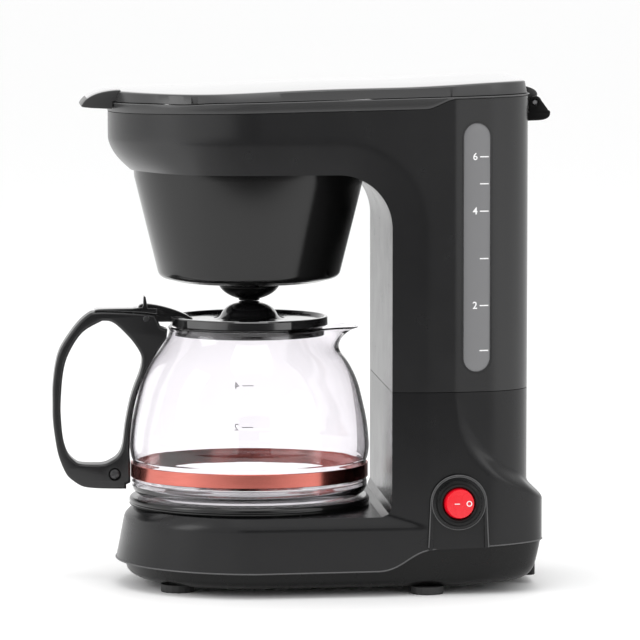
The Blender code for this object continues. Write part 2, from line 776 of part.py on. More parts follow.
def bottom_cover():
    """Tapered tray with a rounded lower edge and a rear heel, which closes the base from below."""
    top = SEAM_BACK + 0.006
    body = narrowed(plan_prism(base_plan(), COVER_LOW, top), COVER_TAPER, COVER_LOW, top)
    foot = plan_prism(inset(base_plan(), COVER_ROUND), COVER_LOW, COVER_LOW + COVER_ROUND)
    cut(body, cut(plan_prism(inset(base_plan(), -FAR), COVER_LOW - FAR, COVER_LOW + COVER_ROUND / 2),
                  narrowed(foot, COVER_TAPER, COVER_LOW, top)))
    keep(body, side_prism([seam_profile(-GAP / 2, -FAR)], HALF))
    heel_top = SEAM_BACK - 0.0020
    join(body, side_prism([[(COLUMN_BACK - FAR, COVER_LOW), (BASE_BACK - 0.0005, COVER_LOW),
                            (BASE_BACK - 0.0005, heel_top), (COLUMN_BACK - FAR, heel_top)]], HEEL_HALF))
    inner = plan_prism(inset(base_plan(), WALL), COVER_LOW + WALL, top + FAR)
    cut(body, narrowed(inner, COVER_TAPER, COVER_LOW, top))
    for x, u in SCREW_AT:
        cut(body, rod(SCREW_R + GAP, (x, u, 0), (x, u, SEAM_FRONT), 12))
    finish(body, "bottom_cover", black_matte())


def feet():
    for index, (x, u) in enumerate(FOOT_AT, 1):
        profile = [(0, FOOT_H), (FOOT_R, FOOT_H), (FOOT_R, 0.0004), (FOOT_R - 0.0004, 0), (0, 0)]
        finish(turned(profile, (x, u, 0), SMALL), "foot_%d" % index, rubber())


def cover_screws():
    low = COVER_LOW + WALL + GAP
    end = COVER_LOW + 0.0002
    for index, (x, u) in enumerate(SCREW_AT, 1):
        profile = [(0, low + 0.0022), (SCREW_HEAD_R, low + 0.0016), (SCREW_HEAD_R, low), (SCREW_R, low),
                   (SCREW_R, end), (0, end)]
        finish(turned(profile, (x, u, 0), 12), "cover_screw_%d" % index, steel())


def cord_gland():
    """Bushing in the base's back wall for the mains lead."""
    profile = [(GLAND_BORE_R, 0.0030), (GLAND_R + 0.0014, 0.0030), (GLAND_R + 0.0022, 0.0016),
               (GLAND_R + 0.0022, GAP), (GLAND_R, GAP), (GLAND_R, -0.0060), (GLAND_BORE_R, -0.0060)]
    finish(turned(profile, (0, BASE_BACK, GLAND_Z), 24, (-math.pi / 2, 0, 0)), "cord_gland", rubber())


# ---- Plate, heater and pipes

def hot_plate():
    """Round plate on the base, with a boss that drops through the housing's hole."""
    lip = BASE_TOP + GAP
    inside = PLATE_BOSS_R - 0.002
    profile = [(0, PLATE_TOP - 0.0006), (PLATE_R - 0.008, PLATE_TOP - 0.0006), (PLATE_R - 0.006, PLATE_TOP),
               (PLATE_R - 0.002, PLATE_TOP), (PLATE_R, PLATE_TOP - 0.0016), (PLATE_R, lip),
               (PLATE_BOSS_R, lip), (PLATE_BOSS_R, lip - WALL), (inside, lip - WALL),
               (inside, PLATE_UNDER), (HEATER_BEND_R + SEAT_HALF, PLATE_UNDER),
               (HEATER_BEND_R + SEAT_HALF, BASE_TOP - WALL), (HEATER_BEND_R - SEAT_HALF, BASE_TOP - WALL),
               (HEATER_BEND_R - SEAT_HALF, PLATE_UNDER), (0, PLATE_UNDER)]
    finish(turned(profile), "hot_plate", plate_coating())


def heater_tube():
    """Horseshoe water-heating tube under the plate, open towards the column."""
    ends = arc((0, 0), HEATER_BEND_R, HEATER_OPEN, -180 - HEATER_OPEN, 26)
    points = [(x, u, HEATER_Z) for x, u in ends]
    points = [(ends[0][0], HEATER_END, HEATER_Z)] + points + [(ends[-1][0], HEATER_END, HEATER_Z)]
    finish(tube(points, HEATER_R), "heater_tube", aluminium())


def heater_clamp():
    high = HEATER_Z - HEATER_R - GAP
    reach = HEATER_BEND_R + HEATER_R + 0.0038
    finish(box((-reach, -0.006, high - CLAMP_T), (reach, 0.006, high)), "heater_clamp", steel())


def thermostat():
    """Round thermostat pressed on the plate's underside."""
    top = PLATE_UNDER - GAP
    profile = [(0, top), (THERMOSTAT_R, top), (THERMOSTAT_R, top - 0.0060),
               (THERMOSTAT_R - 0.0030, top - 0.0075), (0, top - 0.0075)]
    finish(turned(profile, (0, 0.010, 0), 24), "thermostat", steel())


def thermal_fuse():
    height = PLATE_UNDER - GAP - FUSE_R
    finish(rod(FUSE_R, (-0.012, -0.016, height), (0.012, -0.016, height)), "thermal_fuse", silicone())


def pipe_foot(side):
    """First points of a hose, from a heater leg's end back and up into the column."""
    x = side * HEATER_BEND_R * math.cos(math.radians(HEATER_OPEN))
    first = HEATER_END + GAP
    return [(x, first, HEATER_Z), (x, first + 0.010, HEATER_Z), (x, RISER_AT[1] - 0.004, HEATER_Z + 0.005)]


def hoses():
    """Inlet hose from the tank outlet, and the riser that carries hot water up the column."""
    inlet = pipe_foot(-1)
    inlet += [(inlet[0][0], OUTLET_AT[1], HEATER_Z + 0.014), (*OUTLET_AT, CHECK_LOW - GAP)]
    finish(tube(inlet, RISER_R), "inlet_hose", silicone())
    x, u = RISER_AT
    middle = (HOUSING_SEAM + RISER_TOP) / 2
    riser = pipe_foot(1) + [(x, u, HEATER_Z + 0.016), (x, u, middle), (x, u, RISER_TOP - 0.008),
                            (x - 0.002, u - 0.004, RISER_TOP - 0.002), (x - 0.006, u - 0.011, RISER_TOP),
                            (0.0, HEAD_R + GAP + 0.003, RISER_TOP)]
    finish(tube(riser, RISER_R), "riser_tube", silicone())


def check_valve():
    """Tube below the tank outlet whose ball keeps the heated water from flowing back."""
    seat = CHECK_LOW + 0.0025
    roomy = BALL_R + 0.0014
    throat = 0.0020
    rise = seat + roomy - throat
    ball_at = rise + (BALL_R + 0.0001) * math.sqrt(2) - roomy
    high = ball_at + BALL_TRAVEL + 0.0004
    profile = [(throat, CHECK_TOP), (CHECK_R, CHECK_TOP), (CHECK_R, CHECK_LOW), (throat, CHECK_LOW),
               (throat, seat), (roomy, rise), (roomy, high), (throat, high + throat)]
    body = turned(profile, (*OUTLET_AT, 0), 24)
    x, u = OUTLET_AT
    cut(body, box((x - 0.0007, u - roomy, CHECK_LOW - 0.001), (x + 0.0007, u + roomy, rise - 0.0006)))
    finish(body, "check_valve_body", silicone())
    finish(ball(BALL_R, (*OUTLET_AT, ball_at), 12, 8), "check_ball", steel(), (*OUTLET_AT, ball_at))


def spray_head():
    """Shower head over the filter, fed by the riser."""
    top = RISER_TOP + RISER_R
    inside = HEAD_R - 0.0015
    profile = [(0, top), (HEAD_R / 2, top), (HEAD_R, RISER_TOP - 0.001), (HEAD_R, RISER_TOP - 0.0070),
               (inside, RISER_TOP - 0.0070), (inside, RISER_TOP - 0.0030), (0, RISER_TOP - 0.0030)]
    finish(turned(profile, steps=32), "spray_head", black_matte())


# ---- Funnel, filter and drip stop

def brew_funnel():
    """Basket that hangs by its flange in the arm's floor and narrows to the drip port."""
    wall = FUNNEL_WALL
    neck = (FUNNEL_TOP_R - 0.0006, ARM_BOTTOM - 0.004)
    nose = FUNNEL_LOW + FUNNEL_FOOT_H
    profile = [(FUNNEL_TOP_R - wall, FUNNEL_HIGH), (FUNNEL_TOP_R, FUNNEL_HIGH),
               (FUNNEL_TOP_R, FLANGE_LOW + wall), (FLANGE_R, FLANGE_LOW + wall), (FLANGE_R, FLANGE_LOW),
               (FUNNEL_TOP_R, FLANGE_LOW), neck, (FUNNEL_LOW_R, nose),
               (FUNNEL_FOOT_R, FUNNEL_LOW), (PORT_R, FUNNEL_LOW),
               (PORT_R, FUNNEL_LOW + wall), (FUNNEL_FOOT_R - 0.0005, FUNNEL_LOW + wall),
               (FUNNEL_LOW_R - wall, nose + wall), (neck[0] - wall, neck[1])]
    finish(turned(profile), "brew_funnel", black_matte())


def mesh_filter():
    """Reusable cone filter standing in the funnel, with a rolled rim."""
    wall = FILTER_WALL
    rim = FUNNEL_HIGH + GAP
    out_top = FUNNEL_TOP_R - FUNNEL_WALL - 0.0016
    out_low = FUNNEL_LOW_R - FUNNEL_WALL - 0.0040
    rim_out = FUNNEL_TOP_R - 0.0002
    low = FUNNEL_LOW + FUNNEL_WALL + VALVE_TRAVEL + 0.0085
    profile = [(0, low + wall), (out_low - wall, low + wall), (out_top - wall, rim),
               (out_top - wall, rim + 0.0013), (rim_out, rim + 0.0013), (rim_out, rim), (out_top, rim),
               (out_low, low), (0, low)]
    finish(turned(profile), "mesh_filter", steel())


def drip_valve():
    """Drip stop: a bell pressed up by the carafe's lid, its stem and its sealing head."""
    head = FUNNEL_LOW + FUNNEL_WALL + VALVE_TRAVEL + GAP
    rim = FUNNEL_LOW - 0.0022
    cup = VALVE_LOW + 0.0022
    profile = [(0, head + 0.0020), (PORT_R + 0.0025, head + 0.0014), (PORT_R + 0.0025, head),
               (STEM_R, head), (STEM_R, cup), (DOME_LOW_R + 0.0008, cup),
               (DOME_R - 0.0016, rim), (DOME_R, rim), (DOME_R - 0.0008, rim - 0.0016),
               (DOME_LOW_R, VALVE_LOW), (0, VALVE_LOW)]
    finish(turned(profile, steps=32), "drip_valve", silicone(), (0, 0, VALVE_LOW))


def valve_spring():
    """Coil between the funnel's floor and the valve's bell."""
    low = VALVE_LOW + 0.0022 + SPRING_WIRE + GAP
    top = FUNNEL_LOW - SPRING_WIRE - GAP
    count = SPRING_TURNS * 10
    points = []
    for step in range(count + 1):
        angle = 2 * math.pi * SPRING_TURNS * step / count
        height = low + (top - low) * step / count
        points.append((SPRING_R * math.cos(angle), SPRING_R * math.sin(angle), height))
    finish(tube(points, SPRING_WIRE, 1), "valve_spring", steel(), (0, 0, FUNNEL_LOW - GAP))


# ---- Carafe

def shoulder():
    """The jug's outside between rim and band, as (radius, height)."""
    return [(RIM_R + (GLASS_R - RIM_R) * out, BAND_HIGH + (RIM_TOP - BAND_HIGH) * up) for out, up in SHOULDER]


def glass_outer():
    """Outer half profile of the carafe glass, rim first, as (radius, height)."""
    return ([(RIM_R, RIM_TOP), (RIM_R - 0.0006, RIM_TOP - 0.0034), (RIM_R + 0.0010, RIM_TOP - 0.0069)]
            + shoulder()
            + [(GLASS_R - 0.0014, BAND_HIGH + 0.0008), (GLASS_R - 0.0016, BAND_LOW - 0.0027),
               (GLASS_R - 0.0030, JUG_LOW + 0.0027), (GLASS_R - 0.0065, JUG_LOW)])


def glass_at(height):
    """The jug's outer radius at a height."""
    outer = glass_outer()
    for (top_r, top_z), (low_r, low_z) in zip(outer, outer[1:]):
        if low_z <= height <= top_z:
            return low_r + (top_r - low_r) * (height - low_z) / (top_z - low_z)
    return RIM_R


def spout(item):
    """Draw the back of the glass rim out into a pouring lip."""
    for vert in item.data.vertices:
        angle = math.atan2(vert.co.x, vert.co.y)
        lift = max(0.0, min(1.0, (vert.co.z - RIM_TOP + SPOUT_DEPTH) / SPOUT_DEPTH))
        pull = SPOUT_REACH * lift ** 1.6 * math.exp(-(angle / SPOUT_SPREAD) ** 2)
        reach = math.hypot(vert.co.x, vert.co.y)
        if reach > RIM_R / 2:
            vert.co.y += pull * vert.co.y / reach
            vert.co.x += pull * vert.co.x / reach * 0.4
    return item


def carafe_glass():
    outer = glass_outer()
    inner = [(r - GLASS_WALL, z) for r, z in outer[:-1]]
    inner[-1] = (inner[-1][0] - 0.002, JUG_LOW + GLASS_FLOOR)
    profile = [(0, inner[-1][1])] + list(reversed(inner)) + outer + [(0, outer[-1][1])]
    finish(spout(turned(profile, steps=44)), "carafe_glass", glass())


def carafe_band():
    profile = [(BAND_R, BAND_HIGH), (BAND_R + BAND_T, BAND_HIGH), (BAND_R + BAND_T, BAND_LOW), (BAND_R, BAND_LOW)]
    finish(turned(profile, steps=44), "carafe_band", copper())


def in_handle(points):
    """Places in the handle, from shares of its reach (front to glass) and height (low to high)."""
    reach = -GLASS_R - HANDLE_FRONT
    height = HANDLE_HIGH - HANDLE_LOW
    return [(HANDLE_FRONT + reach * out, HANDLE_LOW + height * up) for out, up in points]


def off_glass(clear, heights):
    """Points in front of the jug, at a clearance from its outside."""
    return [(-glass_at(z) - clear, z) for z in heights]


def handle_outline():
    """Outer loop of the handle, from its top fork down to the foot at the band, and up the glass."""
    foot = -(BAND_R + BAND_T) - GAP
    pin_u, pin_z = LID_PIN_AT
    top = [(pin_u + 0.0047, pin_z + 0.0032)] + in_handle([(0.889, 1.0), (0.519, 1.0), (0.333, 0.916)])
    front = in_handle([(0.198, 0.848), (0.012, 0.727), (0.0, 0.601), (0.0, 0.475)])
    low = in_handle([(0.002, 0.370), (0.025, 0.139), (0.198, 0.002), (0.519, 0.0)])
    return (bend(*top, 6) + bend(*front, 7) + bend(*low, 8)
            + [(foot - 0.0022, HANDLE_LOW), (foot, HANDLE_LOW + 0.0022), (foot, BAND_HIGH + 0.0010)]
            + off_glass(0.0006, [z for r, z in reversed(shoulder())][1:])
            + [(-RIM_R - 0.0014, RIM_TOP - 0.0066), (-RIM_R - 0.0010, RIM_TOP - 0.0014),
               (-RIM_R - 0.0040, RIM_TOP - 0.0002)])


def finger_hole():
    """Inner loop of the handle; its jug side keeps an even limb along the glass."""
    top = in_handle([(0.765, 0.911), (0.617, 0.963), (0.346, 0.853), (0.235, 0.774)])
    front = in_handle([(0.136, 0.685), (0.086, 0.517), (0.099, 0.370), (0.148, 0.265)])
    low = in_handle([(0.222, 0.160), (0.346, 0.139), (0.593, 0.139), (0.765, 0.160)])
    span = LID_PIN_AT[1] - BAND_HIGH
    limb = off_glass(LIMB, [BAND_HIGH + span * share for share in (0.10, 0.25, 0.40, 0.53, 0.63)])
    reach = RIM_R + 0.0155
    crook = [(-reach, LID_PIN_AT[1] - span * 0.27), (-reach - 0.0038, LID_PIN_AT[1] - span * 0.15),
             (-reach - 0.0085, LID_PIN_AT[1] - span * 0.085)]
    return bend(*top, 5) + bend(*front, 5) + bend(*low, 5) + limb + crook


def carafe_handle():
    """Closed loop grip with a fork for the lid's pin and a sunk screw at its foot."""
    body = side_prism([handle_outline(), finger_hole()], HANDLE_HALF)
    u, z = LID_PIN_AT
    slot = BOSS_HALF + GAP
    cut(body, box((-slot, u - BOSS_R - 0.0025, z - BOSS_R - 0.0015), (slot, u + FAR, z + FAR)))
    cut(body, pin_bore(LID_PIN_AT, FAR))
    sunk = HANDLE_HALF - 0.0025
    cut(body, rod(0.0034, (sunk, *HANDLE_SCREW_AT), (sunk + FAR, *HANDLE_SCREW_AT)))
    finish(body, "carafe_handle", black_gloss())


def handle_screw():
    low = HANDLE_HALF - 0.0025 + GAP
    finish(rod(0.0031, (low, *HANDLE_SCREW_AT), (low + 0.0016, *HANDLE_SCREW_AT)), "handle_screw", steel())


def carafe_lid():
    """Domed lid in the rim, with a hinge boss and a thumb lever over the handle."""
    under = RIM_TOP + GAP
    skirt = RIM_R - GLASS_WALL - 0.0018
    profile = [(0, LID_DOME_TOP), (DOME_LOW_R - 0.0005, LID_DOME_TOP), (DOME_LOW_R + 0.0009, LID_DOME_TOP - 0.0008),
               (DOME_R - 0.0006, LID_RING_TOP + 0.0012), (DOME_R + 0.0014, LID_RING_TOP - 0.0008),
               (LID_RING_R - 0.0118, LID_RING_TOP - 0.0012), (LID_RING_R - 0.0016, LID_RING_TOP),
               (LID_RING_R, LID_RING_TOP - 0.0012), (LID_RING_R, under),
               (skirt, under), (skirt, under - 0.0050), (skirt - 0.0015, under - 0.0050),
               (skirt - 0.0015, under + 0.0012), (DOME_R, under + 0.0012),
               (DOME_LOW_R + 0.0009, LID_DOME_TOP - 0.0030), (0, LID_DOME_TOP - 0.0030)]
    body = turned(profile)
    u, z = LID_PIN_AT
    inside = -LID_RING_R + 0.0128
    block = [(inside, LID_RING_TOP - 0.0010), (inside - 0.0080, z + 0.0040), (u, z + 0.0072),
             (u - BOSS_R, z + 0.0060)] + arc(LID_PIN_AT, BOSS_R, 150, 300, 8)
    block += [(u + 0.0067, LID_RING_TOP - 0.0030), (inside - 0.0110, LID_RING_TOP - 0.0030)]
    join(body, side_prism([block], BOSS_HALF))
    tip = u - LEVER_REACH
    lever = [(u + 0.0020, z + 0.0068), (u - 0.0060, z + 0.0078), (tip, z + 0.0075),
             (tip - 0.0003, z + 0.0075 - LEVER_T), (u - 0.0060, z + 0.0076 - LEVER_T), (u, z + 0.0045)]
    join(body, side_prism([lever], HANDLE_HALF - 0.001))
    cut(body, pin_bore(LID_PIN_AT, FAR))
    finish(body, "carafe_lid", black_gloss())


def carafe_pin():
    finish(rod(PIN_R, (-HANDLE_HALF, *LID_PIN_AT), (HANDLE_HALF, *LID_PIN_AT)), "carafe_lid_pin", steel())


# ---- Switch

def switch_bezel():
    """Round trim ring with a sleeve that reaches through the pad."""
    bore = ROCKER_R + ROCKER_CLEAR
    profile = [(bore, 0.0022), (BEZEL_R - 0.0014, 0.0022), (BEZEL_R, 0.0008), (BEZEL_R, 0),
               (BEZEL_BODY_R, 0), (BEZEL_BODY_R, -0.0150), (bore, -0.0150)]
    finish(turned(profile, (PAD_X + GAP, *SWITCH_AT), 32, (0, math.pi / 2, 0)), "switch_bezel", black_matte())


def power_rocker():
    """Round rocker cut from a ball, so that it turns freely in its sleeve."""
    pivot = (PAD_X - 0.0004, *SWITCH_AT)
    body = ball(ROCKER_R, pivot, 24, 14)
    reach = ROCKER_R + 0.002
    raised, middle, pressed, back = (ROCKER_R * share for share in (0.65, 0.35, 0.25, -0.56))
    wedge = flat([[(back, -reach), (raised, -reach), (middle, 0), (pressed, reach), (back, reach)]], reach)
    wedge.location = body.location
    keep(body, settle(wedge))
    finish(body, "power_rocker", red(), pivot)


def main():
    start()
    base_housing()
    upper_housing()
    bottom_cover()
    feet()
    cover_screws()
    top_collar()
    top_lid()
    hinge_bracket()
    lid_pin()
    gauge_window()
    hot_plate()
    heater_tube()
    heater_clamp()
    thermostat()
    thermal_fuse()
    hoses()
    check_valve()
    spray_head()
    brew_funnel()
    mesh_filter()
    drip_valve()
    valve_spring()
    carafe_glass()
    carafe_band()
    carafe_handle()
    handle_screw()
    carafe_lid()
    carafe_pin()
    switch_bezel()
    power_rocker()
    cord_gland()


main()
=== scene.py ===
"""Looks of the drip coffee maker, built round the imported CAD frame.

Metres, +Z up. The machine's front faces -Y and its gauge and switch are on +X. As in
the CAD, places along the machine are distances behind the brew axis, moved by BREW_Y.
"""

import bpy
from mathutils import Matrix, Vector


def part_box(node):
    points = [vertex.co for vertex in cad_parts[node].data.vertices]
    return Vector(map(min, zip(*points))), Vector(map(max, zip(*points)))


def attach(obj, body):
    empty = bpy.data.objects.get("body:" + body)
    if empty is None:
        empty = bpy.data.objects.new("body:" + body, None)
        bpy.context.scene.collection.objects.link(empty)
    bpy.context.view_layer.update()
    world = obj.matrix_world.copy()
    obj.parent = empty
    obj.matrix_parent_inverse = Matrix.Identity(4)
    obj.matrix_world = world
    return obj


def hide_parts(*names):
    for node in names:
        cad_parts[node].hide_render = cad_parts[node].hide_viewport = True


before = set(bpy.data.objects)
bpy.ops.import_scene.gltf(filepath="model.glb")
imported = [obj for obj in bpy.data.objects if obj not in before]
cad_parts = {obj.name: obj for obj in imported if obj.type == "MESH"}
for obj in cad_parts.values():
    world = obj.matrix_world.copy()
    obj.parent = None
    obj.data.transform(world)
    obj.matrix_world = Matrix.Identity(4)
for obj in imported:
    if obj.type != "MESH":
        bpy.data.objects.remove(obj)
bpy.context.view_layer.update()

import math

import bmesh
import bpy
from mathutils import Matrix, Vector


def node_box(node):
    """A CAD node's lowest and highest corners."""
    low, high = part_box(node)
    return Vector(low), Vector(high)


# Places read from the frame
GLASS_LOW, GLASS_HIGH = node_box("carafe_glass")
FUNNEL_BOX = node_box("brew_funnel")
UPPER_BOX = node_box("upper_housing")
BASE_BOX = node_box("base_housing")
COVER_BOX = node_box("bottom_cover")
LID_BOX = node_box("top_lid")
COLLAR_BOX = node_box("top_collar")
PLATE_BOX = node_box("hot_plate")
BEZEL_BOX = node_box("switch_bezel")
GAUGE_BOX = node_box("gauge_window")
PIN_BOX = node_box("carafe_lid_pin")
LID_PIN_BOX = node_box("lid_pin")
BRACKET_BOX = node_box("hinge_bracket")
VALVE_BOX = node_box("drip_valve")
SCREW_BOX = node_box("handle_screw")

GAP = 0.0003
WALL = 0.0026
BREW_Y = (FUNNEL_BOX[0].y + FUNNEL_BOX[1].y) / 2
ARM_FRONT = UPPER_BOX[0].y - BREW_Y
COLUMN_BACK = UPPER_BOX[1].y - BREW_Y
BASE_BACK = BASE_BOX[1].y - BREW_Y
ARM_HALF = UPPER_BOX[1].x
SEAM = UPPER_BOX[0].z                     # between the lower and the upper housing
ARM_BOTTOM = 0.2195
COLUMN_FRONT = 0.0700
ARCH_R = 0.0280
RIDGE = 0.1030
RIDGE_HALF = 0.0665
FACET = (RIDGE_HALF - 0.0045, RIDGE + 0.0195)
BASE_FACET = (RIDGE_HALF - 0.0012, RIDGE + 0.0200)
COLUMN_BACK_HALF = 0.0360
BASE_BACK_HALF = 0.0420
BASE_TOP = 0.0417
BASE_BACK_TOP = 0.0560
BAND = 0.0170                             # width of the sloped border round the bay
BAND_DEPTH = 0.0028
NOSE_ROUNDING = 0.0090                    # how far the arm's lower edge rounds in at its nose
BASE_BAND = 0.0053
# (height, how far the base's nose is drawn back there)
NOSE_LEAN = [(0.0, 0.0036), (0.013, 0.0037), (0.023, 0.0057), (0.033, 0.0075), (0.0375, 0.0086),
             (0.0400, 0.0100), (BASE_TOP, 0.0122)]
COVER_LEAN = 0.0046                       # how far the cover's nose is drawn back
COVER_STEP = 0.0007                       # step from the base in to the cover
FUNNEL_HOLE = 0.0622
FLANGE_ROOM = 0.0639
PLATE_HOLE = 0.0593
BEZEL_HOLE = 0.0104
CORD_HOLE = 0.0053
HOSE_X, HOSE_U = 0.024, 0.083
HOSE_HOLE_TOP, HOSE_HOLE_LOW = 0.0045, 0.0085   # in the upper and in the lower housing
PIN_R, PIN_HOLE = 0.0016, 0.0017
EAR_R, EAR_HALF, EAR_X = 0.0034, 0.0026, 0.0150
LID_LINE_FRONT, LID_LINE_BACK = 0.2553, 0.2605
COLLAR_LINE_FRONT, COLLAR_LINE_BACK = COLLAR_BOX[0].z, 0.2546
LID_TOP_FRONT, LID_TOP_BACK = 0.2623, LID_BOX[1].z
FAR = 0.02                                # how far cutting shapes reach past the machine
HALF = 0.10                               # more than half the machine's width
UNDER_LID, ABOVE = 0.2, 0.3               # heights well below the lid and above the machine
ONTO_SIDE = (0, math.pi / 2, 0)           # turns a profile's axis from up to sideways
UPRIGHT = (math.pi / 2, 0, math.pi / 2)   # stands a flat piece up, facing the gauge side


def middle_of(corners):
    """Middle of a node's box as (distance behind the brew axis, height)."""
    low, high = corners
    return (low.y + high.y) / 2 - BREW_Y, (low.z + high.z) / 2


# ---------------------------------------------------------------- outlines

def mm(points, at=(0.0, 0.0)):
    """Points given in millimetres from a place given in metres."""
    return [(at[0] + a / 1000, at[1] + b / 1000) for a, b in points]


def arc(centre, radius, from_deg, to_deg, count):
    """Points of an arc, both ends included."""
    made = []
    for step in range(count + 1):
        angle = math.radians(from_deg + (to_deg - from_deg) * step / count)
        made.append((centre[0] + radius * math.cos(angle), centre[1] + radius * math.sin(angle)))
    return made


def bend(start_at, pull_a, pull_b, end_at, count):
    """Points of a cubic curve, both ends included."""
    made = []
    for step in range(count + 1):
        t = step / count
        weights = ((1 - t) ** 3, 3 * t * (1 - t) ** 2, 3 * t * t * (1 - t), t ** 3)
        made.append(tuple(
            sum(w * p[axis] for w, p in zip(weights, (start_at, pull_a, pull_b, end_at)))
            for axis in range(2)))
    return made


def line(start_at, end_at, count):
    """Evenly spaced points of a straight run, without its first point."""
    return [tuple(a + (b - a) * step / count for a, b in zip(start_at, end_at))
            for step in range(1, count + 1)]


def smooth(value):
    """0 to 1 with soft ends."""
    value = max(0.0, min(1.0, value))
    return value * value * (3 - 2 * value)


def fade(distance, reach, power=2.0):
    """1 at no distance, falling to 0 at the reach."""
    return max(0.0, 1 - distance / reach) ** power


def hill(value, middle, width):
    """A smooth hill, 1 high at its middle."""
    return math.exp(-((value - middle) / width) ** 2)


def lerp(a, b, t):
    return a + (b - a) * t


def broken_line(points, at):
    """Value of a broken line of (place, value) points; the end values hold outside."""
    if at <= points[0][0]:
        return points[0][1]
    for (a, first), (b, second) in zip(points, points[1:]):
        if at <= b:
            return lerp(first, second, (at - a) / (b - a))
    return points[-1][1]


def half_plan(facet, back_half, back):
    """Right half of a plan from nose to tail: round nose, tapering side, ridge, corner, back."""
    nose = [(ARM_HALF * math.sin(math.radians(a)), ARM_FRONT * math.cos(math.radians(a)))
            for a in [90 * step / 44 for step in range(45)]]
    before = (lerp(ARM_HALF, RIDGE_HALF, 0.985), RIDGE * 0.985)
    after = (lerp(RIDGE_HALF, facet[0], 0.08), lerp(RIDGE, facet[1], 0.08))
    side = line(nose[-1], before, 48)
    ridge = bend(before, (RIDGE_HALF, RIDGE), (RIDGE_HALF, RIDGE), after, 4)[1:]
    panel = line(after, facet, 8)
    spread = 0.012
    pull = (facet[0] - (facet[0] - back_half) * 0.16, facet[1] + (back - facet[1]) * 0.55)
    corner = bend(facet, pull, (back_half + spread, back), (back_half, back), 16)[1:]
    tail = line((back_half, back), (0, back), 10)
    return nose + side + ridge + panel + corner + tail


COLUMN_PLAN = half_plan(FACET, COLUMN_BACK_HALF, COLUMN_BACK)
BASE_PLAN = half_plan(BASE_FACET, BASE_BACK_HALF, BASE_BACK)


def normals(half):
    """Outward unit normals of a right half plan."""
    made = []
    for index in range(len(half)):
        before = half[max(index - 1, 0)]
        after = half[min(index + 1, len(half) - 1)]
        if index == 0:
            before = (-after[0], after[1])
        if index == len(half) - 1:
            after = (-before[0], before[1])
        along = Vector((after[0] - before[0], after[1] - before[1])).normalized()
        made.append((along.y, -along.x))
    return made


COLUMN_NORMALS = normals(COLUMN_PLAN)
BASE_NORMALS = normals(BASE_PLAN)


def shrunk(half, outward, amount):
    """A half plan moved inwards by amount(u), or by a plain number."""
    made = []
    for (x, u), (nx, nu) in zip(half, outward):
        step = amount(u) if callable(amount) else amount
        made.append((max(x - nx * step, 0.0), u - nu * step))
    return made


def both_sides(half, height):
    """A full ring of world points from a right half; height is a number or a function of u."""
    rise = height if callable(height) else lambda u: height
    right = [(x, BREW_Y + u, rise(u)) for x, u in half]
    left = [(-x, y, z) for x, y, z in reversed(right[1:-1])]
    return right + left


# ---------------------------------------------------------------- mesh making

def new_object(name, data):
    item = bpy.data.objects.new(name, data)
    bpy.context.scene.collection.objects.link(item)
    return item


def from_bmesh(shape, name):
    """A new object from a bmesh, which is freed."""
    mesh = bpy.data.meshes.new(name)
    shape.to_mesh(mesh)
    shape.free()
    return new_object(name, mesh)


def stack(rings, name="stack", closed=False, caps=True):
    """A skin over rings of equal length, from the top outside down and back up inside."""
    shape = bmesh.new()
    rows = [[shape.verts.new(co) for co in ring] for ring in rings]
    pairs = list(zip(rows, rows[1:]))
    if closed:
        pairs.append((rows[-1], rows[0]))
    for upper, lower in pairs:
        count = len(upper)
        for index in range(count):
            after = (index + 1) % count
            shape.faces.new((upper[index], lower[index], lower[after], upper[after]))
    if caps and not closed:
        shape.faces.new(list(rows[0]))
        shape.faces.new(list(reversed(rows[-1])))
    bmesh.ops.remove_doubles(shape, verts=shape.verts, dist=1e-6)
    bmesh.ops.recalc_face_normals(shape, faces=shape.faces)
    return from_bmesh(shape, name)


def applied(item):
    """Bake an object's modifiers and its place into its mesh."""
    bpy.context.view_layer.update()
    seen = item.evaluated_get(bpy.context.evaluated_depsgraph_get())
    mesh = bpy.data.meshes.new_from_object(seen)
    mesh.transform(item.matrix_world)
    name = item.name
    bpy.data.objects.remove(item, do_unlink=True)
    shape = bmesh.new()
    shape.from_mesh(mesh)
    bmesh.ops.remove_doubles(shape, verts=shape.verts, dist=1e-6)
    shape.to_mesh(mesh)
    shape.free()
    return new_object(name, mesh)


def flat(outlines, half, rounding=0.0, steps=3):
    """A flat 2D curve with one loop per outline, extruded along local Z."""
    curve = bpy.data.curves.new("outline", "CURVE")
    curve.dimensions = "2D"
    curve.fill_mode = "BOTH"
    curve.extrude = half - rounding
    curve.bevel_depth = rounding
    curve.bevel_resolution = steps
    curve.offset = -rounding
    for outline in outlines:
        spline = curve.splines.new("POLY")
        spline.points.add(len(outline) - 1)
        for point, (a, b) in zip(spline.points, outline):
            point.co = (a, b, 0, 1)
        spline.use_cyclic_u = True
    return new_object("outline", curve)


def plan_prism(outline, low, high):
    """An outline of (x, distance behind the brew axis), standing from low to high."""
    item = flat([outline], (high - low) / 2)
    item.location = (0, BREW_Y, (high + low) / 2)
    return applied(item)


def side_prism(outlines, half, at_x=0.0, rounding=0.0, steps=3):
    """Outlines of (distance behind the brew axis, height), extruded across the machine."""
    item = flat(outlines, half, rounding, steps)
    item.rotation_euler = UPRIGHT
    item.location = (at_x, BREW_Y, 0)
    return applied(item)


